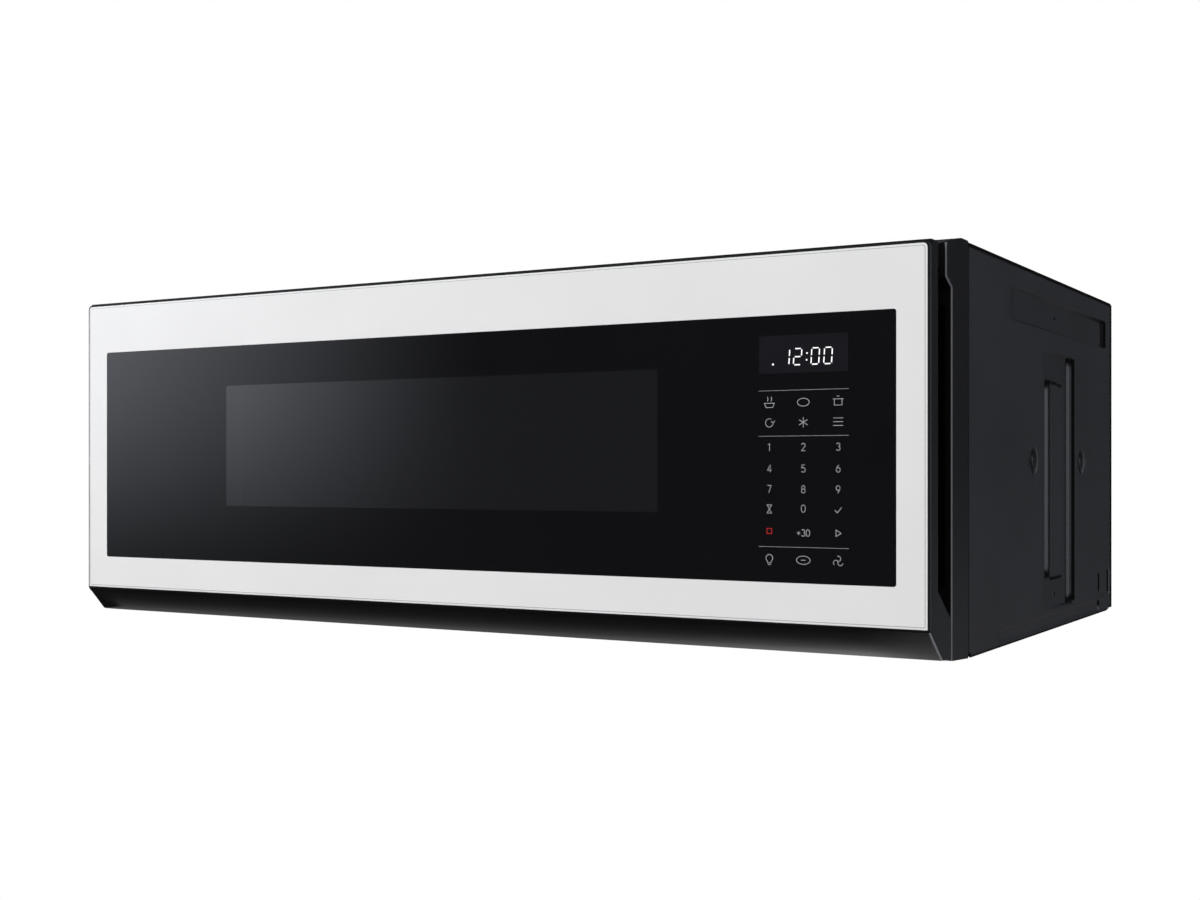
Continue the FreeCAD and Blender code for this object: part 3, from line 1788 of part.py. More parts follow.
def wall_plate():
    """The steel plate that is screwed to the wall and that the case hangs on."""
    x1 = case_inside - wall_plate_side_gap
    z1 = height - wall_plate_drop
    plate = block(-x1, x1, wall_plate_front, depth, wall_plate_low, z1)
    feet = [
        block(x, x + wall_foot, rear_panel_back, wall_plate_front, z, z + wall_foot)
        for x in (-x1, x1 - wall_foot)
        for z in (wall_plate_low, z1 - wall_foot)
    ]
    heights = (wall_plate_middle() - lag_spacing_z / 2, wall_plate_middle() + lag_spacing_z / 2)
    holes = [
        rod("y", lag_hole_radius, (x, wall_plate_front, z), wall_plate_sheet)
        for x in (-lag_spacing_x / 2, lag_spacing_x / 2)
        for z in heights
    ]
    return cut_all(joined([plate] + feet), holes)


def wall_plate_middle():
    return (wall_plate_low + height - wall_plate_drop) / 2


def case_screws():
    """Screws in the sides of the case, with their heads down in the dimples."""
    surface = half - dimple_depth
    right = screws(side_screw_places, "x", surface, 1)
    return right + [mirrored(s) for s in right]


def write_all():
    os.makedirs("parts", exist_ok=True)
    pieces = {
        "door_glass": door_glass(),
        "door_bezel": door_bezel(),
        "door_housing": door_housing(),
        "door_frame": door_frame(),
        "choke_cover": choke_cover(),
        "inner_window": inner_window(),
        "touch_board": touch_board(),
        "display_module": display_module(),
        "hinge_bushes": hinge_bushes(),
        "door_screws": screws(door_screw_places(), "y", door_depth, 1),
        "latch_guide": latch_guide(),
        "latch_lever": latch_lever(),
        "latch_spring": latch_spring(),
        "upper_hinge_bracket": hinge_bracket(True),
        "lower_hinge_bracket": hinge_bracket(False),
        "front_frame": front_frame(),
        "vent_grille": vent_grille(),
        "cavity": cavity(),
        "waveguide_cover": waveguide_cover(),
        "waveguide": waveguide(),
        "magnetron": magnetron(),
        "high_voltage_transformer": high_voltage_transformer(),
        "high_voltage_capacitor": high_voltage_capacitor(),
        "high_voltage_diode": high_voltage_diode(),
        "board_holder": board_holder(),
        "relay_board": relay_board(),
        "cavity_lamp": cavity_lamp(),
        "thermostats": thermostats(),
        "latch_body": latch_body(),
        "interlock_switches": interlock_switches(),
        "turntable_motor": turntable_motor(),
        "turntable_coupler": turntable_coupler(),
        "roller_ring": roller_ring(),
        "glass_tray": glass_tray(),
        "cooling_fan_housing": cooling_fan_housing(),
        "cooling_fan_motor": cooling_fan_motor(),
        "cooling_fan_blade": cooling_fan_blade(),
        "blower_housing": blower_housing(),
        "blower_motor": blower_motor(),
        "blower_wheel_left": blower_wheel(-1),
        "blower_wheel_right": blower_wheel(1),
        "blower_shaft": blower_shaft(),
        "exhaust_collar": exhaust_collar(),
        "damper_flap": damper_flap(),
        "vent_duct": vent_duct(),
        "charcoal_filter": charcoal_filter(),
        "grease_filter_left": grease_filter(-1),
        "grease_filter_right": grease_filter(1),
        "base_panel": base_panel(),
        "lamp_lenses": [lamp_lens(-1), lamp_lens(1)],
        "lamp_boards": [lamp_board(-1), lamp_board(1)],
        "outer_case": outer_case(),
        "mounting_nuts": mounting_nuts(),
        "cord_gland": cord_gland(),
        "rear_panel": rear_panel(),
        "wall_plate": wall_plate(),
        "case_screws": case_screws(),
    }
    for n in range(roller_count):
        pieces[f"roller_{n + 1}"] = roller(n)
    for name, shapes in pieces.items():
        save(name, shapes)


write_all()
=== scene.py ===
import math

import bmesh
import bpy
from mathutils import Matrix, Vector


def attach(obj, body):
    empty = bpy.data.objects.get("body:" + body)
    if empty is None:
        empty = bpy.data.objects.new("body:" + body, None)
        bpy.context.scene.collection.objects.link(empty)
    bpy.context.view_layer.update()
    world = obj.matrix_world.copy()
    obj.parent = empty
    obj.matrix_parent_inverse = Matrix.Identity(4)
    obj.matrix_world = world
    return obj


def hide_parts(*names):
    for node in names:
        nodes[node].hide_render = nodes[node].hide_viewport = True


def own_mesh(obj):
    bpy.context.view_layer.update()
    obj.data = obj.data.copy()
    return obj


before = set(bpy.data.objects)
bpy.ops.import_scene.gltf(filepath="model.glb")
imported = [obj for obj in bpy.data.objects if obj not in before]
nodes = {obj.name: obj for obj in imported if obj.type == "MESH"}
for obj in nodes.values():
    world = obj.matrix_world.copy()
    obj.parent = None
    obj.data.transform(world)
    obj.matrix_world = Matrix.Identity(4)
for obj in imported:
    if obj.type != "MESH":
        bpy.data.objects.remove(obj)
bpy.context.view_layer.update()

# Camera
# It stands in front of the right end of the door, lower than the middle of the door, and looks
# level to the left, so that the door and the right side of the case show.

camera = bpy.data.objects.new("camera", bpy.data.cameras.new("camera"))
bpy.context.scene.collection.objects.link(camera)
bpy.context.scene.camera = camera
bpy.context.scene.view_settings.view_transform = "Standard"
camera.data.lens = 46.24
camera.data.shift_y = 0.01925
camera.location = (0.6892, -1.2013, 0.1247)
camera.rotation_euler = (math.radians(90), 0, math.radians(30.32))


# Studio
# The part hangs on a wall over a range, so the floor is as far under it as in a kitchen. The floor
# and the surround are pale, soft lamps stand at both sides and above, and the room in front is
# dark, which is what the black glass reflects.


class Shade:
    """A link in a node tree, on which sums are written as they are on numbers."""

    def __init__(self, tree, link=None):
        self.tree = tree
        self.link = link

    def node(self, kind, settings=None, sockets=None, output=0):
        """A new node: its settings first, then values or links for its sockets, by name or number."""
        made = self.tree.nodes.new(kind)
        for name, value in (settings or {}).items():
            if name != "stops":
                setattr(made, name, value)
                continue
            stops = made.color_ramp.elements
            while len(stops) < len(value):
                stops.new(0.5)
            for stop, (place, colour) in zip(stops, value):
                stop.position = place
                stop.color = colour
        for where, value in (sockets or {}).items():
            socket = self.pick(made.inputs, where)
            if isinstance(value, Shade):
                self.tree.links.new(value.link, socket)
            else:
                socket.default_value = value
        return Shade(self.tree, self.pick(made.outputs, output)) if made.outputs else None

    def geo(self, kind, sockets, output="Geometry", **settings):
        """A new node in a tree that makes geometry."""
        return self.node("GeometryNode" + kind, settings, sockets, output)

    @staticmethod
    def pick(sockets, where):
        if isinstance(where, int):
            return sockets[where]
        return next(s for s in sockets if s.name == where and s.enabled)

    def maths(self, operation, *values):
        return self.node("ShaderNodeMath", {"operation": operation}, dict(enumerate(values)))

    def __add__(self, other):
        return self.maths("ADD", self, other)

    def __radd__(self, other):
        return self.maths("ADD", other, self)

    def __sub__(self, other):
        return self.maths("SUBTRACT", self, other)

    def __rsub__(self, other):
        return self.maths("SUBTRACT", other, self)

    def __mul__(self, other):
        return self.maths("MULTIPLY", self, other)

    def __rmul__(self, other):
        return self.maths("MULTIPLY", other, self)

    def smooth(self, low, high, start=0.0, end=1.0):
        """Start below low, end above high and a smooth change between them."""
        settings = {"interpolation_type": "SMOOTHSTEP"}
        values = {"Value": self, "From Min": low, "From Max": high, "To Min": start, "To Max": end}
        return self.node("ShaderNodeMapRange", settings, values, "Result")

    def between(self, first, second):
        """The first colour where this is 0, the second where it is 1."""
        sockets = {"Factor": self, "A": first, "B": second}
        return self.node("ShaderNodeMix", {"data_type": "RGBA"}, sockets, "Result")

    def mixed(self, first, second):
        """The first shader where this is 0, the second where it is 1."""
        return self.node("ShaderNodeMixShader", sockets={"Fac": self, 1: first, 2: second})

    def axes(self):
        """The three numbers of a place or a direction."""
        parted = self.node("ShaderNodeSeparateXYZ", sockets={"Vector": self}).link.node
        return [Shade(self.tree, number) for number in parted.outputs]

    def ray(self, kind):
        """1 for light rays of a kind, else 0."""
        return self.node("ShaderNodeLightPath", output=f"Is {kind} Ray")


def bare_tree(holder):
    """The emptied node tree of a new world or material."""
    holder.use_nodes = True
    holder.node_tree.nodes.clear()
    return Shade(holder.node_tree)


def paint(code):
    """A colour as it looks on a screen, such as 22a0ff, in the renderer's own values."""
    parts = [int(code[n : n + 2], 16) / 255 for n in (0, 2, 4)]
    return (*(p / 12.92 if p <= 0.04045 else ((p + 0.055) / 1.055) ** 2.4 for p in parts), 1.0)


def link_object(name, data):
    made = bpy.data.objects.new(name, data)
    bpy.context.scene.collection.objects.link(made)
    return made


world = bpy.data.worlds.new("surround")
bpy.context.scene.world = world
sky = bare_tree(world)
camera_ray, glossy_ray, window_ray = (sky.ray(kind) for kind in ("Camera", "Glossy", "Transmission"))
side, ahead, rise = sky.node("ShaderNodeTexCoord", output="Generated").axes()
forward = ahead.smooth(0.1, -0.3)
behind = ahead.smooth(-0.1, 0.2)
glow_left = side.smooth(-0.56, -0.86, 0.0, 1.15) * rise.smooth(-0.09, 0.12, 0.04, 1.35) * forward
glow_right = side.smooth(0.2, 0.8, 0.0, 0.3) * forward
glow_above = rise.smooth(0.45, 0.95, 0.0, 0.8)
glow_flank = side.smooth(0.42, 0.62, 0.0, 1.9) * side.smooth(0.96, 0.76)
glow_rear = (side.smooth(0.12, 0.3) * rise.smooth(0.02, -0.15, 0.0, 0.12) + glow_flank) * behind
dark_room, plain_light, cool_white = 0.05, 0.45, (0.9, 0.94, 1.04, 1)
mirrored_light = glow_left + glow_right + glow_above + glow_rear + dark_room * forward
level = glossy_ray * mirrored_light + (1 - glossy_ray) * plain_light
white_seen = camera_ray.maths("MAXIMUM", camera_ray, window_ray)
level = white_seen + (1 - white_seen) * level
surround = level.between((0, 0, 0, 1), glossy_ray.between((1, 1, 1, 1), cool_white))
background = sky.node("ShaderNodeBackground", sockets={"Color": surround})
sky.node("ShaderNodeOutputWorld", sockets={"Surface": background})

part_middle = Vector((0, 0, 0.14))
for name, place, size, power in (
    ("lamp_left", (-1.6, -1.7, 1.5), 1.6, 50),
    ("lamp_right", (2.0, -1.3, 1.2), 1.2, 16),
    ("lamp_above", (0.0, 0.3, 2.6), 2.2, 26),
    ("lamp_rear", (0.9, 2.4, 1.6), 1.6, 24),
):
    lamp = link_object(name, bpy.data.lights.new(name, "AREA"))
    lamp.data.size = size
    lamp.data.energy = power
    lamp.visible_glossy = False
    lamp.location = place
    lamp.rotation_euler = (part_middle - Vector(place)).to_track_quat("-Z", "Y").to_euler()

floor_mesh = bpy.data.meshes.new("floor")
floor_low, reach = -1.37, 9
ways = ((-1, -1), (1, -1), (1, 1), (-1, 1))
corners = [(x * reach, y * reach, floor_low) for x, y in ways]
floor_mesh.from_pydata(corners, [], [(0, 1, 2, 3)])
floor = link_object("floor", floor_mesh)
floor_paint = bpy.data.materials.new("floor_paint")
ground = bare_tree(floor_paint)
spot = ground.node("ShaderNodeTexCoord", output="Object")
across, along, _ = spot.axes()
away = ground.node("ShaderNodeVectorMath", {"operation": "LENGTH"}, {0: spot}, "Value")
plain_floor = ground.node("ShaderNodeBsdfDiffuse", sockets={"Color": paint("f2f2f1")})
bright = ground.node("ShaderNodeEmission", sockets={"Color": (1, 1, 1, 1)})
seen = (away.smooth(1.9, 3.2) * ground.ray("Camera")).mixed(plain_floor, bright)
mirrored = along.smooth(0.25, 1.0) * along.smooth(2.4, 1.2, 0.2, 1.0) * across.smooth(-1.0, 0.1, 0.25, 1.0)
mirrored = 0.02 + 2.6 * mirrored * across.smooth(0.7, 0.3, 0.2, 1.0)
glow = ground.node("ShaderNodeEmission", sockets={"Color": (1, 1, 1, 1), "Strength": mirrored})
from_below = ground.node("ShaderNodeNewGeometry", output="Backfacing")
clear = ground.node("ShaderNodeBsdfTransparent")
seen = from_below.mixed(ground.ray("Glossy").mixed(seen, glow), clear)
ground.node("ShaderNodeOutputMaterial", sockets={"Surface": seen})
floor_mesh.materials.append(floor_paint)


# Case
# One steel sheet bent over the top and down both sides, with recesses, ribs and screw dimples
# pressed into the sides, powder coated a satin black. The holes are punched before it is bent.

mm = 0.001
case_half, case_high, case_depth = 379.5, 281.0, 524.0
case_front, case_sheet = 81.0, 1.0
top_bend, side_rear_bend, top_rear_bend, rear_flange = 2.5, 1.5, 5.0, 9.0


def new_finish(name):
    """A material with nothing in it yet, and the place on the piece that its patterns start from."""
    made = bpy.data.materials.new(name)
    return made, bare_tree(made).node("ShaderNodeTexCoord", output="Object")


def noise(place, scale, detail=2.0, roughness=0.5):
    sockets = {"Vector": place, "Scale": scale, "Detail": detail, "Roughness": roughness}
    return place.node("ShaderNodeTexNoise", {}, sockets, "Fac")


def cells(place, scale, output):
    return place.node("ShaderNodeTexVoronoi", {}, {"Vector": place, "Scale": scale}, output)


def cell_levels(place, scale):
    """A level of its own for each cell."""
    return place.node("ShaderNodeSeparateColor", {}, {"Color": cells(place, scale, "Color")}, "Red")


def bump(height, distance, strength=1.0):
    sockets = {"Height": height, "Strength": strength, "Distance": distance}
    return height.node("ShaderNodeBump", {}, sockets, "Normal")


def tones(level, dark, light):
    return level.between(paint(dark), paint(light))


def principled(place, sockets):
    return place.node("ShaderNodeBsdfPrincipled", {}, sockets)


def close_finish(finish, shader):
    shader.node("ShaderNodeOutputMaterial", {}, {"Surface": shader})
    return finish


def patterned(name, pattern, dark, light, values, relief=()):
    """A material that follows one pattern, given as its noise or a function of the place. A pair
    among the values is the least value and what the pattern adds. The relief is for bump."""
    finish, place = new_finish(name)
    level = pattern(place) if callable(pattern) else noise(place, *pattern)
    sockets = {"Base Color": tones(level, dark, light)}
    for socket, value in values.items():
        paired = isinstance(value, tuple) and len(value) == 2
        sockets[socket] = value[0] + value[1] * level if paired else value
    if relief:
        sockets["Normal"] = bump(level, *relief)
    return close_finish(finish, principled(place, sockets))


powder, at = new_finish("powder_coat_black")
peel, cloud = noise(at, 900), noise(at, 9, 3.0)
satin = {
    "Base Color": tones(cloud.smooth(0.3, 0.7), "111115", "151519"),
    "Roughness": 0.29 + 0.07 * peel + 0.05 * cloud,
    "Specular IOR Level": 0.4,
    "Normal": bump(peel, 0.00006),
}
# Painted shade: a near-black matt coat, drawn where the sides' grooves, dimples, holes and edges lie in
# shade.
painted_shade_black = {
    "Base Color": tones(peel, "030303", "070708"),
    "Roughness": 0.8 + 0.1 * cloud,
    "Specular IOR Level": 0.05,
}
crease = at.node("ShaderNodeAttribute", {"attribute_name": "crease"}, {}, "Fac")
close_finish(powder, crease.mixed(principled(at, satin), principled(at, painted_shade_black)))


def lines(low, high, coarse, places):
    """Grid lines from low to high: every coarse millimetres, and closer where each place says."""
    count = max(1, round((high - low) / coarse))
    marks = {low + (high - low) * n / count for n in range(count + 1)}
    for first, last, step in places:
        steps = max(1, round((last - first) / step))
        marks |= {first + (last - first) * n / steps for n in range(steps + 1)}
    kept = []
    for mark in sorted(marks):
        if not kept or mark - kept[-1] > 0.5:
            kept.append(mark)
    kept[-1] = high
    return kept[:1] + [low + 0.6] + kept[1:-1] + [high - 0.6, high]


def ramp(value, low, high):
    share = min(1.0, max(0.0, (value - low) / (high - low)))
    return share * share * (3 - 2 * share)


def inside_by(y, z, place, radius):
    """How far a point is inside a rounded rectangle, negative outside."""
    y0, y1, z0, z1 = place
    across = abs(y - (y0 + y1) / 2) - (y1 - y0) / 2 + radius
    up = abs(z - (z0 + z1) / 2) - (z1 - z0) / 2 + radius
    outside = math.hypot(max(across, 0), max(up, 0)) + min(max(across, up), 0)
    return radius - outside


# Two upright grooves: front edge, lowest line, crest of the rear flank, rear edge, lower and upper
# end, depth.
grooves = (
    (281.0, 287.5, 301.0, 305.0, 42.0, 198.5, 2.6),
    (355.0, 363.0, 377.5, 381.5, 17.5, 220.0, 2.2),
)


def groove_depth(y, z, groove):
    """A groove with a short slope in, a long flank out that faces the front, and tapered ends."""
    front, lowest, crest, rear, low, high, deep = groove
    across = ramp(y, front, lowest) * (1 - ramp(y, lowest, crest) * 0.8) * (1 - ramp(y, crest, rear))
    return deep * across * ramp(min(z - low, high - z), 0, 7.5)


side_screws = ((250.5, 134.0), (403.8, 134.0))
side_slits = ((471.8, 475.2, 20.0, 34.5), (506.3, 510.6, 16.5, 36.0))
panel_area, high_recess = (276, 380, 16, 221), (190, 497, 237, 262)
low_recess, slit_tab = (156, 471, 2.5, 12.5), (467.5, 512.5, 14, 38.5)
ledge_front, ledge_rear, ledge_low, ledge_high = 296, 347, 40.4, 197.6
dimple_radius, dimple_deep = 10.75, 1.8


def painted_shade_share(y, z):
    """Painted shade: where the powder coat is drawn matt and near black, in the grooves, the dimples, the
    ledge lines, round the holes and slits and on the sheet's edges.
    """
    share = 0.0
    for front, lowest, crest, rear, low, high, _ in grooves:
        from_end = min(z - low, high - z)
        end, narrow = ramp(from_end, -1.5, 1.0), ramp(from_end, 3.0, 9.0)
        bottom = ramp(y, front - 0.5, front + 1.5) * (1 - ramp(y, lowest - 0.5, lowest + 1.5))
        edge = ramp(y, crest - 0.5, crest + 1.0) * (1 - ramp(y, rear - 1.0, rear + 0.8)) * 0.9
        ends = ramp(y, front, lowest) * (1 - ramp(y, crest, rear)) * (1 - narrow)
        share = max(share, bottom * end, edge * end, ends * end)
    if 300 < y < ledge_rear:
        for edge in (ledge_high - (y - 303) * 0.05, ledge_low):
            line = 0.95 * ramp(1.5 - abs(z - edge), 0, 0.9)
            share = max(share, line * min(1, (ledge_rear - y) / 8))
    for sy, sz in side_screws:
        away = math.hypot(y - sy, z - sz)
        share = max(share, 0.8 * ramp(away, 3.0, 5.0) * (1 - ramp(away, 7.5, dimple_radius)))
    recess_end = ramp(y, 494.2, 495.4) * (1 - ramp(y, 497.0, 498.2))
    recess_end *= ramp(min(z - high_recess[2], high_recess[3] - z), 0, 1.5)
    rear_edge = ramp(y, 514.6, 517.0)
    front_edge = max(1 - ramp(y, 81.8, 83.0), ramp(6.5 - math.hypot(y - 82, 1.4 * z), 0, 2.0))
    low_edge = 1 - ramp(z, 1.0, 2.0)
    top_edge = ramp(z, 276.6, 277.6)
    pierced = ramp(3.4 - math.hypot(y - 470, z - 9), 0, 1.2)
    for y0, y1, z0, z1 in side_slits:
        round_slit = (y0 - 1.3, y1 + 1.3, z0 - 1.2, z1 + 1.2)
        pierced = max(pierced, ramp(inside_by(y, z, round_slit, 0.5), 0, 1.0))
    return max(share, recess_end, rear_edge, front_edge, low_edge, top_edge, pierced)


def pressed_depth(y, z):
    """How deep the side is pressed in at a distance from the glass and a height."""
    slope = min(1, max(0.04, (y - 276) / 96))
    panel = 2.4 * ramp(inside_by(y, z, panel_area, 4), 0, 2.4) * slope
    deepest = max(panel, max(panel * 0.6 + groove_depth(y, z, groove) for groove in grooves))
    if ledge_front < y < ledge_rear and ledge_low < z < ledge_high:
        ledge = 1.1 * ramp(min(z - ledge_low, ledge_high - z), 0, 1.8)
        deepest += ledge * min(1, (ledge_rear - y) / 42) * ramp(y, ledge_front, 304)
    high = 3.9 * ramp(inside_by(y, z, high_recess, 2), 0, 1.6)
    high *= 0.12 + 0.88 * (y - 192) / 304
    low = 0.8 * ramp(inside_by(y, z, low_recess, 2), 0, 1.4)
    tab = 0.8 * ramp(inside_by(y, z, slit_tab, 1.5), 0, 1.4)
    deepest = max(deepest, high, low, tab)
    for sy, sz in side_screws:
        away = math.hypot(y - sy, z - sz)
        deepest = max(deepest, dimple_deep * ramp(dimple_radius - away, 0, 4.2))
    return deepest


side_holes = [(321.5, 249.0, 2.2), (318.0, 27.0, 2.0), (470.0, 9.0, 1.5)]
top_holes = [(-305.0, 334.0, 3.3), (305.0, 334.0, 3.3), (309.5, 464.0, 11.0)]
coarse, side_coarse = 30.0, 18.0
sheet_rear = case_depth - top_rear_bend
top_y_places = [(330, 338, 1.6), (452.5, 475.5, 2.2), (408.5, 491.5, 83)]
top_y_lines = lines(case_front, sheet_rear, side_coarse, top_y_places)
side_y_places = [
    *((82.4, 83.6, 1.2), (86.5, 88.5, 2.0), (155, 159, 1.4), (189, 193, 1.3), (239.5, 261.5, 1.5)),
    *((274, 306, 1.15), (315.5, 324.5, 1.1), (343, 348, 2.5), (353, 384, 1.15), (392.8, 414.8, 1.5)),
    *((466, 477, 1.3), (494, 499, 0.9), (504, 514, 1.3), (516, 519, 1.0)),
]
y_lines = sorted({*top_y_lines, *lines(case_front, sheet_rear, side_coarse, side_y_places)})
z_places = [
    *((1.8, 13.6, 1.1), (13.6, 29.7, 1.15), (33.5, 52, 1.2), (123, 145, 1.5), (188, 200, 1.2)),
    *((211, 222.5, 1.2), (236.2, 239.6, 0.8), (246.3, 251.7, 1.1), (259.6, 262.8, 0.8)),
    (276.0, 277.8, 0.9),
]
z_lines = lines(0.0, case_high - top_bend, side_coarse, z_places)
bend_steps = 5
y_lines += [("bend", n) for n in range(1, bend_steps + 1)] + [("flange", n) for n in (1, 2)]
section = [(case_half, z, 1, 0) for z in z_lines]
for n in range(1, bend_steps):
    turn = math.radians(90 * n / bend_steps)
    x = case_half - top_bend + top_bend * math.cos(turn)
    section.append((x, case_high - top_bend + top_bend * math.sin(turn), 1, 0))
top_x = case_half - top_bend
top_lines = lines(-top_x, top_x, coarse, [(-309, -301, 1.6), (298, 321, 2.2), (-127, 127, 254)])
right_count = len(section)
section += [(x, case_high, 0, 1) for x in reversed(top_lines)]
section += [(-x, z, w, t) for x, z, w, t in reversed(section[:right_count])]


side_stretch_from = 515


def case_point(x, z, on_side, line):
    """A point of the sheet's outside, from its place on the bent section and its line along Y."""
    at_side = abs(x) > case_half - 0.01
    bend = side_rear_bend if at_side else top_rear_bend
    start = case_depth - bend
    if isinstance(line, tuple):
        kind, n = line
        flange = kind == "flange"
        turn = math.radians(90 if flange else 90 * n / bend_steps)
        inset = bend * (1 - math.cos(turn)) + (n * (rear_flange - bend) / 2 if flange else 0)
        y = start + bend * math.sin(turn)
        z = min(z, case_high - inset)
    else:
        y = line
        if at_side and line >= side_stretch_from:
            y = start - (sheet_rear - line) * (start - side_stretch_from) / (sheet_rear - side_stretch_from)
        inset = pressed_depth(y, z) if on_side and z < case_high - top_bend + 0.01 else 0
    limit_x = case_half - inset
    return (max(-limit_x, min(limit_x, x)) if inset else x), y, z


case = bmesh.new()
painted_shade_layer = case.verts.layers.float.new("crease")
rows = []
for x, z, on_side, on_top in section:
    row = {}
    for n, line in enumerate(y_lines):
        if not on_top or isinstance(line, tuple) or line in top_y_lines:
            row[n] = case.verts.new(case_point(x, z, on_side, line))
    rows.append(row)
for low_row, high_row in zip(rows, rows[1:]):
    shared = sorted(set(low_row) & set(high_row))
    for a, b in zip(shared, shared[1:]):
        near_side = [low_row[n] for n in range(a, b + 1) if n in low_row]
        far_side = [high_row[n] for n in range(b, a - 1, -1) if n in high_row]
        case.faces.new(near_side + far_side)


def punch(work, flat, centre, radius):
    """Open a round hole: verts near its edge are drawn onto the circle, faces inside are deleted."""
    for vert in work.verts:
        offset = Vector(flat(vert)) - Vector(centre)
        if 0.45 * radius < offset.length < radius + 0.5:
            moved = offset.normalized() * radius - offset
            vert.co += Vector((0, *moved) if flat is side_place else (*moved, 0))
    doomed = []
    for face in work.faces:
        if all((Vector(flat(v)) - Vector(centre)).length < radius + 1e-3 for v in face.verts):
            doomed.append(face)
    bmesh.ops.delete(work, geom=doomed, context="FACES")


nowhere = (-999, -999)


def side_place(vert):
    return (vert.co.y, vert.co.z) if abs(vert.co.x) > 360 else nowhere


def top_place(vert):
    return (vert.co.x, vert.co.y) if vert.co.z > case_high - 0.1 else nowhere


for y, z, radius in side_holes + [(y, z, 2.3) for y, z in side_screws]:
    punch(case, side_place, (y, z), radius)
for x, y, radius in top_holes:
    punch(case, top_place, (x, y), radius)


def cut_away(work, test):
    doomed = [f for f in work.faces if test(f.calc_center_median())]
    bmesh.ops.delete(work, geom=doomed, context="FACES")


cut_away(case, lambda c: c.z < 3 and c.y < case_front + 5 or c.z < 1.8 and c.y > 503)
exhaust_half, exhaust_front, exhaust_rear = 127, 408.5, 491.5
cut_away(case, lambda c: c.z > 280 and abs(c.x) < exhaust_half and exhaust_front < c.y < exhaust_rear)
for y0, y1, z0, z1 in side_slits:
    cut_away(case, lambda c: abs(c.x) > 370 and y0 < c.y < y1 and z0 < c.z < z1)
# Each side vertex stores how much painted shade it carries.
for vert in case.verts:
    if abs(vert.co.x) > top_x + 0.1:
        vert[painted_shade_layer] = painted_shade_share(vert.co.y, vert.co.z)
bmesh.ops.remove_doubles(case, verts=case.verts, dist=0.01)
shift = Matrix.Scale(mm, 4) @ Matrix.Translation((0, -case_depth / 2, 0))
bmesh.ops.transform(case, matrix=shift, verts=case.verts)


def smooth_mesh(name, work, angle=35):
    """The finished mesh with its faces outwards, shaded smooth but for its sharp edges."""
    bmesh.ops.recalc_face_normals(work, faces=work.faces)
    mesh = bpy.data.meshes.new(name)
    work.to_mesh(mesh)
    work.free()
    mesh.shade_smooth()
    mesh.set_sharp_from_angle(angle=math.radians(angle))
    return mesh


def with_modifiers(mesh, *modifiers):
    """A mesh after modifiers, which are gone once it is made."""
    work = link_object("work", mesh)
    for kind, settings in modifiers:
        modifier = work.modifiers.new(kind, kind)
        for name, value in settings.items():
            setattr(modifier, name, value)
    graph = bpy.context.evaluated_depsgraph_get()
    made = bpy.data.meshes.new_from_object(work.evaluated_get(graph))
    made.name = mesh.name
    bpy.data.objects.remove(work)
    return made


def add_piece(name, mesh, body, slot, finishes=(), instead_of=()):
    """An object of the part: it rides on a body and stands for the CAD nodes that it replaces."""
    made = link_object(name, mesh)
    for finish in finishes:
        mesh.materials.append(finish)
    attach(made, body)
    if instead_of:
        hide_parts(*instead_of)
    return made


thicken = ("SOLIDIFY", {"thickness": case_sheet * mm, "offset": -1.0})
case_mesh = with_modifiers(smooth_mesh("pressed_case", case), thicken)
add_piece("pressed_case", case_mesh, "case", "black_steel", [powder], ["outer_case"])


# Screws
# Pan-head screws with a cross recess, black in the case and zinc plated in the door.


def new_tree(name, sockets):
    """A geometry tree and its inputs by name, each given as its kind and its value."""
    tree = bpy.data.node_groups.new(name, "GeometryNodeTree")
    tree.interface.new_socket("Geometry", in_out="OUTPUT", socket_type="NodeSocketGeometry")
    sockets = {"Points": ("Geometry", None), **sockets, "Finish": ("Material", None)}
    for socket, (kind, value) in sockets.items():
        made = tree.interface.new_socket(socket, in_out="INPUT", socket_type="NodeSocket" + kind)
        if value is not None:
            made.default_value = value
    source = tree.nodes.new("NodeGroupInput")
    return tree, {socket: Shade(tree, source.outputs[socket]) for socket in sockets}


def close_tree(tree, made, finish):
    sockets = {"Geometry": made, "Material": finish}
    coated = made.geo("SetMaterial", sockets)
    tree.links.new(coated.link, tree.nodes.new("NodeGroupOutput").inputs[0])


def vector(start, **parts):
    return start.node("ShaderNodeCombineXYZ", {}, parts)


def changed(geometry, **values):
    """Geometry that is moved, turned or scaled."""
    return geometry.geo("Transform", {"Geometry": geometry, **values})


def placed(points, instance, **values):
    """The same form on each point, as plain geometry."""
    sockets = {"Points": points, "Instance": instance, **values}
    put = points.geo("InstanceOnPoints", sockets, "Instances")
    return points.geo("RealizeInstances", {"Geometry": put})


def run_tree(name, tree, values, points=(), facing=None):
    """The mesh that a geometry tree makes with the given inputs, on the given points."""
    seed = bpy.data.meshes.new(name)
    seed.from_pydata(points, [], [])
    if facing:
        turned = seed.attributes.new("facing", "FLOAT_VECTOR", "POINT")
        turned.data.foreach_set("vector", [c for f in facing for c in f])
    work = link_object("work", seed)
    modifier = work.modifiers.new("tree", "NODES")
    modifier.node_group = tree
    for item in tree.interface.items_tree:
        if item.in_out == "INPUT" and item.name in values:
            modifier[item.identifier] = values[item.name]
    graph = bpy.context.evaluated_depsgraph_get()
    made = bpy.data.meshes.new_from_object(work.evaluated_get(graph))
    made.name = name
    bpy.data.objects.remove(work)
    return made


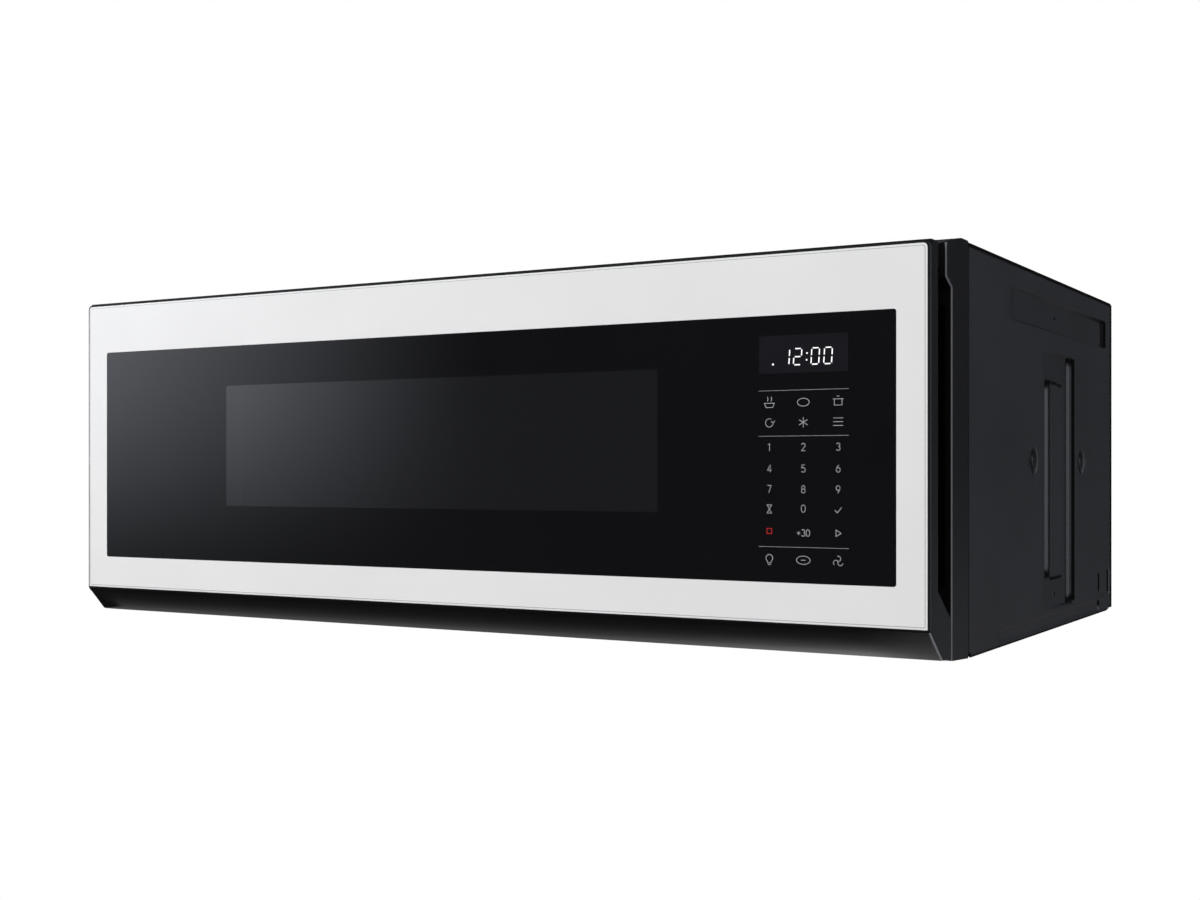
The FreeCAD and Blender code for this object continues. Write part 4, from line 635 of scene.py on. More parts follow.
screw_tree, g = new_tree(
    "screw_heads",
    {
        "Head Radius": ("Float", 0.004),
        "Head Height": ("Float", 0.0014),
        "Recess Width": ("Float", 0.0008),
    },
)
start, radius, height = g["Points"], g["Head Radius"], g["Head Height"]
ball = {"Segments": 28, "Rings": 14, "Radius": radius}
ball = start.geo("MeshUVSphere", ball, "Mesh")
flatten = vector(start, X=1.0, Y=1.0, Z=height * (1 / 0.004))
bar = {"Size": vector(start, X=radius * 1.15, Y=g["Recess Width"], Z=height)}
bar = start.geo("MeshCube", bar, "Mesh")
lift = vector(start, Z=height)
cross = start.geo("MeshBoolean", {}, "Mesh", operation="UNION", solver="EXACT")
for one_bar in (bar, changed(bar, Rotation=(0, 0, math.pi / 2))):
    screw_tree.links.new(one_bar.link, cross.link.node.inputs["Mesh 2"])
head = {"Mesh 1": changed(ball, Scale=flatten), "Mesh 2": changed(cross, Translation=lift)}
head = start.geo("MeshBoolean", head, "Mesh", operation="DIFFERENCE", solver="EXACT")
facing = {"Name": "facing"}
facing = start.geo("InputNamedAttribute", facing, "Attribute", data_type="FLOAT_VECTOR")
turned = start.node("FunctionNodeAlignRotationToVector", {"axis": "Z"}, {"Vector": facing}, "Rotation")
points = start.geo("MeshToPoints", {"Mesh": start}, "Points")
close_tree(screw_tree, placed(points, head, Rotation=turned), g["Finish"])

fine_relief = (0.00003,)
black_screw = patterned(
    "black_screw", (1400,), "17181b", "2a2b2f", {"Metallic": 0.7, "Roughness": (0.32, 0.2)}, fine_relief
)
zinc_screw = patterned(
    "zinc_screw", (900, 3.0), "8d9196", "c2c6ca", {"Metallic": 1.0, "Roughness": (0.25, 0.2)}, fine_relief
)

screw_points = []
screw_facing = []
for sign in (1, -1):
    for y, z in side_screws:
        screw_points.append((sign * (case_half - dimple_deep) * mm, (y - case_depth / 2) * mm, z * mm))
        screw_facing.append((sign, 0, 0))
heads = run_tree("case_screw_heads", screw_tree, {"Finish": black_screw}, screw_points, screw_facing)
add_piece("case_screw_heads", heads, "case", "screws", [], ["case_screws"])


# Door glass
# One toughened pane over the whole door, with a fine ground edge, printed white round the rim
# and black in the middle behind the glass. The window and the display are left clear.

glass_front, glass_back = -261.95, -258.0
glass_x, glass_low, glass_high = 379.4, 24.5, 271.1
white_zone, black_zone, window_zone, display_zone, edge_line_zone, shaded_zone = range(6)
black_area = (-356.3, 357.7, 52.3, 229.2)
window_area = (-216.3, 185.7, 97.8, 196.5)
display_area = (262.6, 325.2, 190.7, 215.6)

ripple = (11, 1.0)
lacquer = {"Coat Weight": 1.0, "Coat Roughness": 0.03}
white_print, at = new_finish("white_printed_glass")
wave = noise(at, 14, 1.0)
white = {
    "Base Color": tones(wave.smooth(0.2, 0.8), "e4e4e5", "e7e7e8"),
    "Roughness": 0.10 + 0.02 * wave,
    **lacquer,
    "Coat Weight": 0.6,
    "Normal": bump(wave, 0.0002, 0.2),
}
close_finish(white_print, principled(at, white))
black = {"Roughness": (0.045, 0.02), **lacquer}
black_print = patterned("black_printed_glass", ripple, "050506", "08080a", black, (0.0002, 0.15))
smoky = {"Roughness": (0.05, 0.02), "IOR": 2.3, **lacquer, "Alpha": (0.84, 0.02)}
smoked = patterned("smoked_window_glass", ripple, "0c0c0f", "0f0f12", smoky)
screen_tint = patterned("display_tint", (60, 1.0), "17161b", "1b1a20", {"Roughness": (0.06, 0.02)})
# Painted shade on the glass rim: a grey ring where the ground edge starts to curve, standing in for its
# refraction, and a near-black outer ring for the darker reflection of the rounded edge.
edge_line_shade = patterned(
    "painted_glass_edge_line", (700,), "a5a8aa", "b6b9bb", {"Roughness": (0.22, 0.1)}, fine_relief
)
edge_shade = patterned(
    "shaded_glass_edge", (700,), "0c0c0e", "151517", {"Roughness": (0.5, 0.1)}, fine_relief
)


def rounded_outline(x0, x1, z0, z1, low, high, steps=6):
    """Corners of a rectangle with rounded corners, from the lower right one, counter-clockwise."""
    points = []
    for cx, cz, radius, start in (
        (x1 - low, z0 + low, low, -90),
        (x1 - high, z1 - high, high, 0),
        (x0 + high, z1 - high, high, 90),
        (x0 + low, z0 + low, low, 180),
    ):
        for n in range(steps + 1):
            turn = math.radians(start + 90 * n / steps)
            points.append((cx + radius * math.cos(turn), cz + radius * math.sin(turn)))
    return points


pane = bmesh.new()


def loop_at(work, outline, y):
    return [work.verts.new((x * mm, y * mm, z * mm)) for x, z in outline]


def bridge(work, outer, inner, finish):
    """A ring of faces between two loops of the same count."""
    for a in range(len(outer)):
        b = (a + 1) % len(outer)
        face = work.faces.new((outer[a], outer[b], inner[b], inner[a]))
        face.material_index = finish


edge_steps = ((0.0, 0.5), (1.35, 0.2), (1.8, 0.16), (2.6, 0.1), (3.1, 0.0), (3.8, 0.0))
rims = []
for inset, back in edge_steps:
    outline = rounded_outline(
        -glass_x + inset,
        glass_x - inset,
        glass_low + inset,
        glass_high - inset,
        max(0.3, 0.8 - inset / 4),
        max(0.5, 3.5 - inset / 2),
    )
    rims.append(loop_at(pane, outline, glass_front + back))
rear_rim = loop_at(pane, rounded_outline(-glass_x, glass_x, glass_low, glass_high, 0.8, 3.5), glass_back)
bridge(pane, rear_rim, rims[0], shaded_zone)
# The side wall and outermost ring carry the painted dark edge, and the fourth ring carries the painted grey
# line.
ring_zones = (shaded_zone, white_zone, white_zone, edge_line_zone, white_zone)
for outer, inner, zone in zip(rims, rims[1:], ring_zones):
    bridge(pane, outer, inner, zone)
black_rim = loop_at(pane, rounded_outline(*black_area, 1.8, 1.8), glass_front)
bridge(pane, rims[-1], black_rim, white_zone)
window_rim = loop_at(pane, rounded_outline(*window_area, 1.2, 1.2), glass_front)
display_rim = loop_at(pane, rounded_outline(*display_area, 0.8, 0.8), glass_front)


def face_with_holes(work, outer, holes, finish):
    """A flat face with holes, filled by triangles between the loops."""
    before = set(work.faces)
    edges = []
    for loop in (outer, *holes):
        for a in range(len(loop)):
            pair = (loop[a], loop[(a + 1) % len(loop)])
            edges.append(work.edges.get(pair) or work.edges.new(pair))
    bmesh.ops.triangle_fill(work, use_beauty=True, use_dissolve=False, edges=edges)
    for face in set(work.faces) - before:
        face.material_index = finish


face_with_holes(pane, black_rim, (window_rim, display_rim), black_zone)
pane.faces.new(window_rim).material_index = window_zone
pane.faces.new(display_rim).material_index = display_zone
back_window = loop_at(pane, rounded_outline(*window_area, 1.2, 1.2), glass_back)
face_with_holes(pane, rear_rim, (back_window,), black_zone)
pane.faces.new(back_window).material_index = window_zone
pane_mesh = smooth_mesh("door_pane", pane, 25)
pane_finishes = [white_print, black_print, smoked, screen_tint, edge_line_shade, edge_shade]
add_piece("door_pane", pane_mesh, "door", "white_glass", pane_finishes, ["door_glass"])


# Display digits and key legends
# Light shows through gaps in the black print: seven-stroke figures for the time, thin figures
# and small signs for the touch keys, and fine lines between the groups of keys.

printed = {"Roughness": (0.3, 0.1)}
lit = {**printed, "Emission Color": (1.0, 1.0, 1.0, 1.0), "Emission Strength": 0.35}
legend_light = patterned("legend_light", (500, 1.0), "b4b5b8", "c6c7ca", printed)
time_light = patterned("time_light", (500, 1.0), "f2f3f5", "ffffff", lit)
stop_red = patterned("stop_red", (500, 1.0), "b21b1e", "c62428", printed)
legend_front, legend_back = -262.0, -261.94


def stroke(work, points, width, closed=False):
    """A flat line of even width through the points, with mitred corners and a little thickness."""
    count = len(points)
    sides = []
    for a, (x, z) in enumerate(points):
        before = points[a - 1] if a or closed else None
        after = points[(a + 1) % count] if a < count - 1 or closed else None
        ways = []
        for first, second in ((before, (x, z)), ((x, z), after)):
            if first and second:
                way = Vector(second) - Vector(first)
                ways.append(way.normalized())
        along = sum(ways, Vector((0, 0))).normalized()
        across = Vector((-along.y, along.x))
        reach = width / 2 / max(0.5, abs(along.dot(ways[0])))
        sides.append((Vector((x, z)) + across * reach, Vector((x, z)) - across * reach))
    loops = []
    for left, right in sides:
        corners = ((left, legend_front), (right, legend_front), (right, legend_back), (left, legend_back))
        loops.append([work.verts.new((c.x * mm, y * mm, c.y * mm)) for c, y in corners])
    for a in range(count if closed else count - 1):
        one, two = loops[a], loops[(a + 1) % count]
        for n in range(4):
            m = (n + 1) % 4
            work.faces.new((one[n], one[m], two[m], two[n]))
    if not closed:
        work.faces.new(loops[0])
        work.faces.new(loops[-1][::-1])


def arc(cx, cz, rx, rz, start, end, steps=14):
    turns = [math.radians(start + (end - start) * n / steps) for n in range(steps + 1)]
    return [(cx + rx * math.cos(t), cz + rz * math.sin(t)) for t in turns]


def ring(cx, cz, rx, rz, steps):
    return arc(cx, cz, rx, rz, 0, 360, steps)[:-1] + ["closed"]


figures = {
    "0": [ring(0.3, 0.5, 0.3, 0.5, 24)],
    "1": [[(0.08, 0.84), (0.34, 1.0), (0.34, 0.0)]],
    "2": [arc(0.3, 0.72, 0.27, 0.28, 165, -35) + [(0.03, 0.0), (0.6, 0.0)]],
    "3": [arc(0.29, 0.75, 0.25, 0.25, 155, -90), arc(0.29, 0.26, 0.29, 0.26, 90, -155)],
    "4": [[(0.62, 0.28), (0.02, 0.28), (0.44, 1.0), (0.44, 0.0)]],
    "5": [[(0.54, 1.0), (0.12, 1.0), (0.08, 0.56)] + arc(0.29, 0.32, 0.3, 0.32, 120, -145)],
    "6": [ring(0.31, 0.31, 0.28, 0.31, 20), [(0.04, 0.4), (0.16, 0.72), (0.4, 1.0)]],
    "7": [[(0.02, 1.0), (0.58, 1.0), (0.2, 0.0)]],
    "8": [ring(0.3, 0.76, 0.23, 0.24, 20), ring(0.3, 0.26, 0.28, 0.26, 20)],
    "9": [ring(0.29, 0.69, 0.28, 0.31, 20), [(0.56, 0.6), (0.44, 0.28), (0.2, 0.0)]],
    "+": [[(0.02, 0.45), (0.58, 0.45)], [(0.3, 0.17), (0.3, 0.73)]],
}


def draw(work, shapes, x, z, size, width):
    """Strokes given in units of their own height, drawn with their lower left corner at a place."""
    for shape in shapes:
        closed = shape[-1] == "closed"
        points = [(x + px * size, z + pz * size) for px, pz in (shape[:-1] if closed else shape)]
        stroke(work, points, width, closed)


def draw_figures(work, text, x, z, size, width):
    """Figures in a row, centred on a place."""
    pitch = 0.74 * size
    left = x - (pitch * len(text) - 0.14 * size) / 2
    for n, figure in enumerate(text):
        draw(work, figures[figure], left + n * pitch, z - size / 2, size, width)


def spoke(turn, reach):
    """A point at a distance from the middle of a sign."""
    return 0.5 + reach * math.cos(turn), 0.5 + reach * math.sin(turn)


signs = {
    "steam": [[(0.0, 0.42), (1.0, 0.42), (0.82, 0.04), (0.18, 0.04), "closed"]]
    + [[(x, 0.6), (x + 0.08, 0.8), (x, 1.0)] for x in (0.3, 0.66)],
    "oval": [ring(0.5, 0.5, 0.55, 0.34, 24)],
    "pot": [
        [(0.14, 0.66), (0.14, 0.12), (0.86, 0.12), (0.86, 0.66)],
        [(0.0, 0.66), (1.0, 0.66)],
        [(0.38, 0.9), (0.62, 0.9)],
    ],
    "again": [arc(0.5, 0.5, 0.42, 0.42, 60, 360), [(1.1, 0.72), (0.92, 0.48), (0.7, 0.66)]],
    "flake": [[spoke(math.radians(d), -0.5), spoke(math.radians(d), 0.5)] for d in (30, 90, 150)],
    "slides": [[(0.0, z), (1.0, z)] for z in (0.14, 0.5, 0.86)],
    "glass": [[(0.2, 1.0), (0.8, 1.0), (0.2, 0.0), (0.8, 0.0), "closed"]],
    "tick": [[(0.05, 0.5), (0.38, 0.15), (0.98, 0.88)]],
    "square": [[(0.1, 0.1), (0.9, 0.1), (0.9, 0.9), (0.1, 0.9), "closed"]],
    "start": [[(0.2, 0.08), (0.92, 0.5), (0.2, 0.92), "closed"]],
    "lamp": [
        arc(0.5, 0.6, 0.34, 0.34, -60, 240) + [(0.33, 0.16), (0.67, 0.16), "closed"],
        [(0.36, 0.0), (0.64, 0.0)],
    ],
    "plate": [ring(0.5, 0.5, 0.6, 0.34, 24), [(0.3, 0.5), (0.7, 0.5)]],
    "fan": [
        arc(*spoke(math.radians(d), 0.25), 0.25, 0.25, d - 180, d + 20) for d in (90, 210, 330)
    ],
}
key_columns = (270.0, 294.2, 318.5)
legends = bmesh.new()
for z, row in ((141.8, "123"), (127.7, "456"), (114.1, "789")):
    for x, figure in zip(key_columns, row):
        draw_figures(legends, figure, x, z, 4.8, 0.3)
draw_figures(legends, "0", key_columns[1], 101.4, 4.8, 0.3)
draw_figures(legends, "+30", key_columns[1], 85.5, 4.4, 0.3)
for name, column, z, size in (
    ("steam", 0, 171.6, 7.4),
    ("oval", 1, 171.2, 7.6),
    ("pot", 2, 171.6, 7.4),
    ("again", 0, 158.0, 6.6),
    ("flake", 1, 158.0, 6.8),
    ("slides", 2, 158.0, 6.8),
    ("glass", 0, 100.9, 5.4),
    ("tick", 2, 100.6, 5.0),
    ("start", 2, 85.7, 5.0),
    ("lamp", 0, 67.6, 7.2),
    ("plate", 1, 67.6, 8.0),
    ("fan", 2, 67.4, 7.0),
):
    draw(legends, signs[name], key_columns[column] - size / 2, z - size / 2, size, 0.3)
for z in (179.3, 149.15, 75.95):
    stroke(legends, [(262.3, z), (325.8, z)], 0.16)
add_piece("key_legends", smooth_mesh("key_legends", legends), "door", "display", [legend_light])

stop_sign = bmesh.new()
draw(stop_sign, signs["square"], key_columns[0] - 2.1, 86.3 - 2.1, 4.2, 0.5)
add_piece("stop_legend", smooth_mesh("stop_legend", stop_sign), "door", "display", [stop_red])

segment_lines = {
    "top": ((0.1, 1.0), (0.9, 1.0)),
    "middle": ((0.1, 0.5), (0.9, 0.5)),
    "bottom": ((0.1, 0.0), (0.9, 0.0)),
    "upper_left": ((0.0, 0.55), (0.0, 0.95)),
    "upper_right": ((1.0, 0.55), (1.0, 0.95)),
    "lower_left": ((0.0, 0.05), (0.0, 0.45)),
    "lower_right": ((1.0, 0.05), (1.0, 0.45)),
}
lit_strokes = {
    "0": ("top", "bottom", "upper_left", "upper_right", "lower_left", "lower_right"),
    "1": ("upper_right", "lower_right"),
    "2": ("top", "upper_right", "middle", "lower_left", "bottom"),
}
time_figures = bmesh.new()
figure_low, figure_wide, figure_high, stroke_wide, lean = 195.9, 5.4, 10.6, 0.78, 0.06
for figure, left in (("1", 278.6), ("2", 287.2), ("0", 299.6), ("0", 308.5)):
    for name in lit_strokes[figure]:
        first, last = (
            Vector((left + u * figure_wide + v * figure_high * lean, figure_low + v * figure_high))
            for u, v in segment_lines[name]
        )
        gap = (last - first).normalized() * 0.16
        stroke(time_figures, [first + gap, last - gap], stroke_wide)
for z in (198.9, 203.3):
    x = 296.3 + (z - 195) * lean
    stroke(time_figures, [(x, z - 0.5), (x, z + 0.5)], 1.0)
stroke(time_figures, [(272.6, 196.1), (272.6, 197.3)], 1.2)
add_piece("time_figures", smooth_mesh("time_figures", time_figures), "door", "display", [time_light])


# Moulded front
# The bezel with its slanted lower face, the back shell of the door, the frame round the door and
# the vent grille: injection moulded in black, with small radii on every edge.

sparkle = (1300, 3.0, 0.6)
moulded, at = new_finish("moulded_black")
spark = noise(at, *sparkle)
glossy_black = {
    "Base Color": tones(noise(at, 16).smooth(0.3, 0.7), "09090b", "0d0d0f"),
    "Roughness": 0.34 + 0.10 * spark,
    "Normal": bump(spark, 0.00004),
}
close_finish(moulded, principled(at, glossy_black))
# For the faces round the door's pocket: a matt moulding, painted darker than the rest as shade in the
# pocket.
matt_values = {"Roughness": (0.75, 0.1), "Specular IOR Level": 0.1}
matt_pocket_shade = patterned("matt_painted_pocket_shade", sparkle, "060607", "0b0b0c", matt_values, (0.00004,))
# A light grey for narrow edge faces: a painted highlight for the light that the edges of the black moulding
# catch.
painted_highlight_edge = patterned(
    "painted_highlight_moulded_edge", (600,), "65666c", "75767c", {"Roughness": (0.25, 0.1)}, fine_relief
)
# The side faces of the moulded front: satin, and painted darker than the rest as shade on the sides.
satin_shaded_cheek = patterned(
    "satin_painted_shade_cheek", sparkle, "050507", "09090b", {"Roughness": (0.22, 0.06)}, fine_relief
)
front_finishes = [moulded, matt_pocket_shade, painted_highlight_edge, satin_shaded_cheek]

# Nodes whose flat faces have openings, which don't stay clean when the faces' triangles are joined.
kept_in_triangles = {
    "front_frame",
    "door_housing",
    "vent_grille",
    "magnetron",
    "high_voltage_transformer",
    "blower_wheel_left",
    "blower_wheel_right",
}


def eased(node, width, shaped=None):
    """A copy of a CAD node, merged, with its edges rounded and most of its flat faces joined."""
    work = bmesh.new()
    work.from_mesh(nodes[node].data)
    bmesh.ops.remove_doubles(work, verts=work.verts, dist=2e-6)
    if node not in kept_in_triangles:
        flat = math.radians(0.6)
        bmesh.ops.dissolve_limit(work, angle_limit=flat, verts=work.verts, edges=work.edges)
    bmesh.ops.recalc_face_normals(work, faces=work.faces)
    if shaped:
        shaped(work)
    mesh = bpy.data.meshes.new(node + "_moulded")
    work.to_mesh(mesh)
    work.free()
    mesh.shade_smooth()
    sharp = math.radians(30)
    mesh.set_sharp_from_angle(angle=sharp)
    bevel = {
        "width": width * mm,
        "segments": 2,
        "limit_method": "ANGLE",
        "angle_limit": sharp,
        "use_clamp_overlap": True,
        "miter_outer": "MITER_ARC",
    }
    flat_faces_first = {"mode": "FACE_AREA", "weight": 50, "keep_sharp": True}
    return with_modifiers(mesh, ("BEVEL", bevel), ("WEIGHTED_NORMAL", flat_faces_first))


def slice_at(work, place, axis):
    """New edges all round where a plane across an axis cuts."""
    parts = [*work.verts, *work.edges, *work.faces]
    point = [c * place * mm for c in axis]
    bmesh.ops.bisect_plane(work, geom=parts, plane_co=point, plane_no=axis)


def dress(ending, slot, finish, pieces):
    """CAD nodes with eased edges and one finish. Each has its edge's width, and its body if that
    isn't the case."""
    for node, width, *body in pieces:
        mesh = eased(node, width)
        add_piece(node + ending, mesh, *(body or ["case"]), slot, [finish], [node])


def near(vert, x=None, y=None, z=None):
    """Whether a vertex lies on the given planes, in millimetres, with y from the glass."""
    place = (vert.co.x / mm, vert.co.y / mm + case_depth / 2, vert.co.z / mm)
    return all(b is None or abs(a - b) < 0.1 for a, b in zip(place, (x, y, z)))


pocket_shade_slot, highlight_slot, shaded_cheek_slot = 1, 2, 3
skin_front, skin_top, skin_back, skin_low = 1.0, 24.2, 26.0, 4.0
skin_bulge, right_bulge, end_bulge, end_corner = 1.8, 0.3, 4.2, 0.78


def shape_door_end(work):
    """The slanted face is crowned and its left end runs nearly to the bottom. Its right end is chamfered
    with a painted highlight, and its side faces are painted darker as shade.
    """
    fall = (skin_top - skin_low) / (skin_back - skin_front)
    for vert in work.verts:
        if vert.co.x < -0.375 and near(vert, y=17.0):
            back = 5.0 if vert.co.x < -0.378 else 8.9
            vert.co += Vector((0, back, -back * fall)) * mm
    for x in (-357, -363, -369, -374, 330, 347, 364):
        slice_at(work, x, (1, 0, 0))
    for share in (0.12, 0.25, 0.38, 0.5, 0.61, 0.7, 0.75, end_corner, 0.84, 0.9):
        slice_at(work, skin_front + share * (skin_back - skin_front) - case_depth / 2, (0, 1, 0))
    length = math.hypot(skin_back - skin_front, skin_top - skin_low)
    outward = Vector((0, -(skin_top - skin_low), -(skin_back - skin_front))) / length
    skin = []
    for vert in work.verts:
        y, z = vert.co.y / mm + case_depth / 2, vert.co.z / mm
        off_skin = abs(z - skin_top + fall * (y - skin_front))
        if skin_front - 0.05 < y < skin_back + 0.05 and off_skin < 0.05:
            skin.append(vert)
            share = min(1, max(0, (y - skin_front) / (skin_back - skin_front)))
            right = ramp(vert.co.x / mm, 320, 379)
            left = ramp(-vert.co.x / mm, 357, 379)
            crown = 4 * share * (1 - share) * (skin_bulge + (right_bulge - skin_bulge) * right)
            knee = end_bulge * min(share / end_corner, (1 - share) / (1 - end_corner), 0.94)
            vert.co += outward * ((crown + (knee - crown) * left) * mm)
    for face in work.faces:
        if abs(face.calc_center_median().x) > 0.3792:
            face.material_index = shaded_cheek_slot
    ends = [e for e in work.edges if all(v in skin and near(v, x=379.4) for v in e.verts)]
    paint_highlight(work, ends, 1.0, 1)


def paint_highlight(work, edges, width, segments):
    """Edges are broken by narrow faces in light grey, a painted highlight for the light that the edges
    catch.
    """
    shape = {"offset": width * mm, "segments": segments, "affect": "EDGES", "clamp_overlap": True}
    bmesh.ops.bevel(work, geom=edges, material=highlight_slot, **shape)


def shape_frame(work):
    """The cheeks step back a little lower. They have a painted highlight on their front edge, and their
    side faces are painted darker as shade. What faces the door is matt and painted darker as shade.
    """
    for vert in work.verts:
        if vert.co.x > 0.372 and (near(vert, y=34.0, z=258.0) or near(vert, y=46.0, z=252.0)):
            vert.co.z -= 6 * mm
        if near(vert, y=46.0, z=0.0):
            vert.co.z += 1.8 * mm
    for face in work.faces:
        middle = face.calc_center_median()
        inwards = abs(middle.x) < 0.3785 and abs(face.normal.x) < 0.99
        if inwards and middle.z < 0.28 and middle.y < -0.19:
            face.material_index = pocket_shade_slot
        if abs(middle.x) > 0.3792:
            face.material_index = shaded_cheek_slot
    front = [
        e
        for e in work.edges
        if all(abs(v.co.x) > 0.3794 and (near(v, y=34.0) or near(v, y=46.0)) for v in e.verts)
        and e.calc_face_angle(0) > 0.1
    ]
    paint_highlight(work, front, 0.8, 2)


for node, body, width, shaped in (
    ("door_bezel", "door", 0.2, shape_door_end),
    ("door_housing", "door", 0.6, shape_door_end),
    ("front_frame", "case", 0.7, shape_frame),
):
    mesh = eased(node, width, shaped)
    add_piece(node + "_moulded", mesh, body, "black_plastic", front_finishes, [node])
black_parts = [("vent_grille", 0.5), ("choke_cover", 0.6, "door")]
black_parts += [("latch_guide", 0.3, "door"), ("hinge_bushes", 0.3, "door")]
dress("_moulded", "black_plastic", moulded, black_parts)


# Door screen
# Thin steel with punched holes behind the glass, which keeps the microwaves in and lets the eye
# through. It is pressed into the door's steel frame.

punched_steel = patterned(
    "punched_steel", (600,), "2b2c2f", "36373a", {"Metallic": 0.6, "Roughness": (0.42, 0.1)}
)
sheet_tree, g = new_tree(
    "punched_sheet",
    {
        "Columns": ("Int", 10),
        "Rows": ("Int", 10),
        "Pitch": ("Float", 0.0024),
        "Open Share": ("Float", 0.6),
        "Stretch": ("Float", 1.0),
    },
)
start, pitch, columns, rows = g["Points"], g["Pitch"], g["Columns"], g["Rows"]
row_pitch = pitch * (math.sqrt(3) / 2)
grid = {
    "Size X": pitch * (columns - 1),
    "Size Y": row_pitch * (rows - 1),
    "Vertices X": columns,
    "Vertices Y": rows,
}
grid = start.geo("MeshGrid", grid, "Mesh")
lattice = start.geo("MeshToPoints", {"Mesh": grid}, "Points")
number = start.maths("DIVIDE", start.geo("InputPosition", {}, 0).axes()[1], row_pitch)
number = number + (rows - 1) * 0.5
odd = start.maths("PINGPONG", start.maths("ROUND", number), 1.0)
lattice = {"Geometry": lattice, "Offset": vector(start, X=odd * pitch * 0.5)}
lattice = start.geo("SetPosition", lattice)
cell = {"Vertices": 6, "Radius": pitch * (1 / math.sqrt(3))}
cell = start.geo("MeshCircle", cell, "Mesh", fill_type="NGON")
cell = {"Mesh": changed(cell, Rotation=(0, 0, math.pi / 6)), "Offset Scale": 0.0}
cell = start.geo("ExtrudeMesh", cell, "Mesh")
top = Shade(sheet_tree, cell.link.node.outputs["Top"])
cell = {"Geometry": cell, "Selection": top, "Scale": g["Open Share"]}
cell = start.geo("ScaleElements", cell)
cell = {"Geometry": cell, "Selection": top}
cell = start.geo("DeleteGeometry", cell, domain="FACE")
sheet = {"Geometry": placed(lattice, cell), "Distance": 0.00001}
sheet = start.geo("MergeByDistance", sheet)
sheet = changed(sheet, Scale=vector(start, X=g["Stretch"], Y=1.0, Z=1.0))
close_tree(sheet_tree, sheet, g["Finish"])

window_centre = ((window_area[0] + window_area[1]) / 2, (window_area[2] + window_area[3]) / 2)
screen_mesh = run_tree(
    "punched_screen",
    sheet_tree,
    {"Columns": 176, "Rows": 51, "Pitch": 2.35 * mm, "Open Share": 0.62, "Finish": punched_steel},
)
screen_mesh.transform(
    Matrix.Translation((window_centre[0] * mm, -241.3 * mm, window_centre[1] * mm))
    @ Matrix.Rotation(math.radians(90), 4, "X")
)
add_piece("punched_screen", screen_mesh, "door", "zinc_steel")

zinc_plate, at = new_finish("galvanised_steel")
spangle, grain = cell_levels(at, 140.0), noise(at, 300, 3.0)
galvanised = {
    "Base Color": tones(spangle, "a9adb0", "b7bbbe"),
    "Metallic": 0.4,
    "Roughness": 0.38 + 0.08 * spangle + 0.06 * grain,
    "Normal": bump(grain, 0.00004),
}
close_finish(zinc_plate, principled(at, galvanised))
frame_mesh = eased("door_frame", 0.2)
opening = bmesh.new()
bmesh.ops.create_cube(opening, size=1.0)
wide, tall = window_area[1] - window_area[0] + 6, window_area[3] - window_area[2] + 6
size = Matrix.Diagonal((wide * mm, 6 * mm, tall * mm, 1))
middle = Matrix.Translation((window_centre[0] * mm, -241.0 * mm, window_centre[1] * mm))
bmesh.ops.transform(opening, matrix=middle @ size, verts=opening.verts)
opening_mesh = bpy.data.meshes.new("opening")
opening.to_mesh(opening_mesh)
opening.free()
cutter = link_object("cutter", opening_mesh)
cut = ("BOOLEAN", {"object": cutter, "operation": "DIFFERENCE", "solver": "EXACT"})
frame_mesh = with_modifiers(frame_mesh, cut)
bpy.data.objects.remove(cutter)
frame_mesh.materials.clear()
add_piece("door_steel_frame", frame_mesh, "door", "zinc_steel", [zinc_plate], ["door_frame"])


# Oven
# A box spot-welded from thin sheet, coated in grey enamel with fine light and dark specks, with
# a plate at its front that the door closes on.

enamel, at = new_finish("grey_enamel")
dot, flow = cells(at, 420.0, "Distance").smooth(0.34, 0.22), noise(at, 30)
speck_tone = tones(cell_levels(at, 420.0).smooth(0.4, 0.6), "5f6164", "c4c6c7")
speckled = {
    "Base Color": (dot * 0.7).between(tones(flow, "8f9192", "989a9b"), speck_tone),
    "Roughness": 0.22 + 0.08 * flow,
    "Normal": bump(flow + 0.1 * dot, 0.0002, 0.5),
}
close_finish(enamel, principled(at, speckled))
add_piece("oven_box", eased("cavity", 0.4), "case", "grey_enamel", [enamel], ["cavity"])

mica = patterned(
    "mica_sheet", lambda place: cell_levels(place, 130.0), "b6a990", "cdc2aa", {"Roughness": (0.28, 0.15)}
)
add_piece("mica_cover", eased("waveguide_cover", 0.15), "case", "mica", [mica], ["waveguide_cover"])


# Turntable
# A pressed glass plate with rings in its face, on three plastic wheels in a loose ring, turned
# by a three-lobed driver.

glassy = {"Roughness": (0.015, 0.02), "Transmission Weight": 1.0, "IOR": 1.5}
clear_glass = patterned("clear_glass", (20, 1.0), "e9f3ef", "f2f9f6", glassy)
tray_x, tray_y, tray_low, tray_steps = -15.0, -48.5, 76.6, 128


plate = [(0.0, tray_low)]
for radius in (34, 60, 86, 112):
    plate += [(radius - 3, tray_low), (radius - 1.5, tray_low + 0.6), (radius + 1.5, tray_low + 0.6)]
    plate += [(radius + 3, tray_low)]
plate += [(138, tray_low), (141.5, tray_low + 0.7), (147.5, tray_low + 4.8), (154.0, tray_low + 10.4)]
plate += [(154.9, tray_low + 11.3), (154.4, tray_low + 11.9), (153.2, tray_low + 11.9)]
plate += [(151.2, tray_low + 10.9), (144.0, tray_low + 6.4), (139.0, tray_low + 4.3), (136, tray_low + 4.0)]
for radius in (124, 98, 72, 46, 22):
    plate += [(radius + 2, tray_low + 4.0), (radius, tray_low + 3.6), (radius - 2, tray_low + 4.0)]
plate += [(0.0, tray_low + 4.0)]
tray = bmesh.new()
turns = [math.tau * n / tray_steps for n in range(tray_steps)]
rings = []
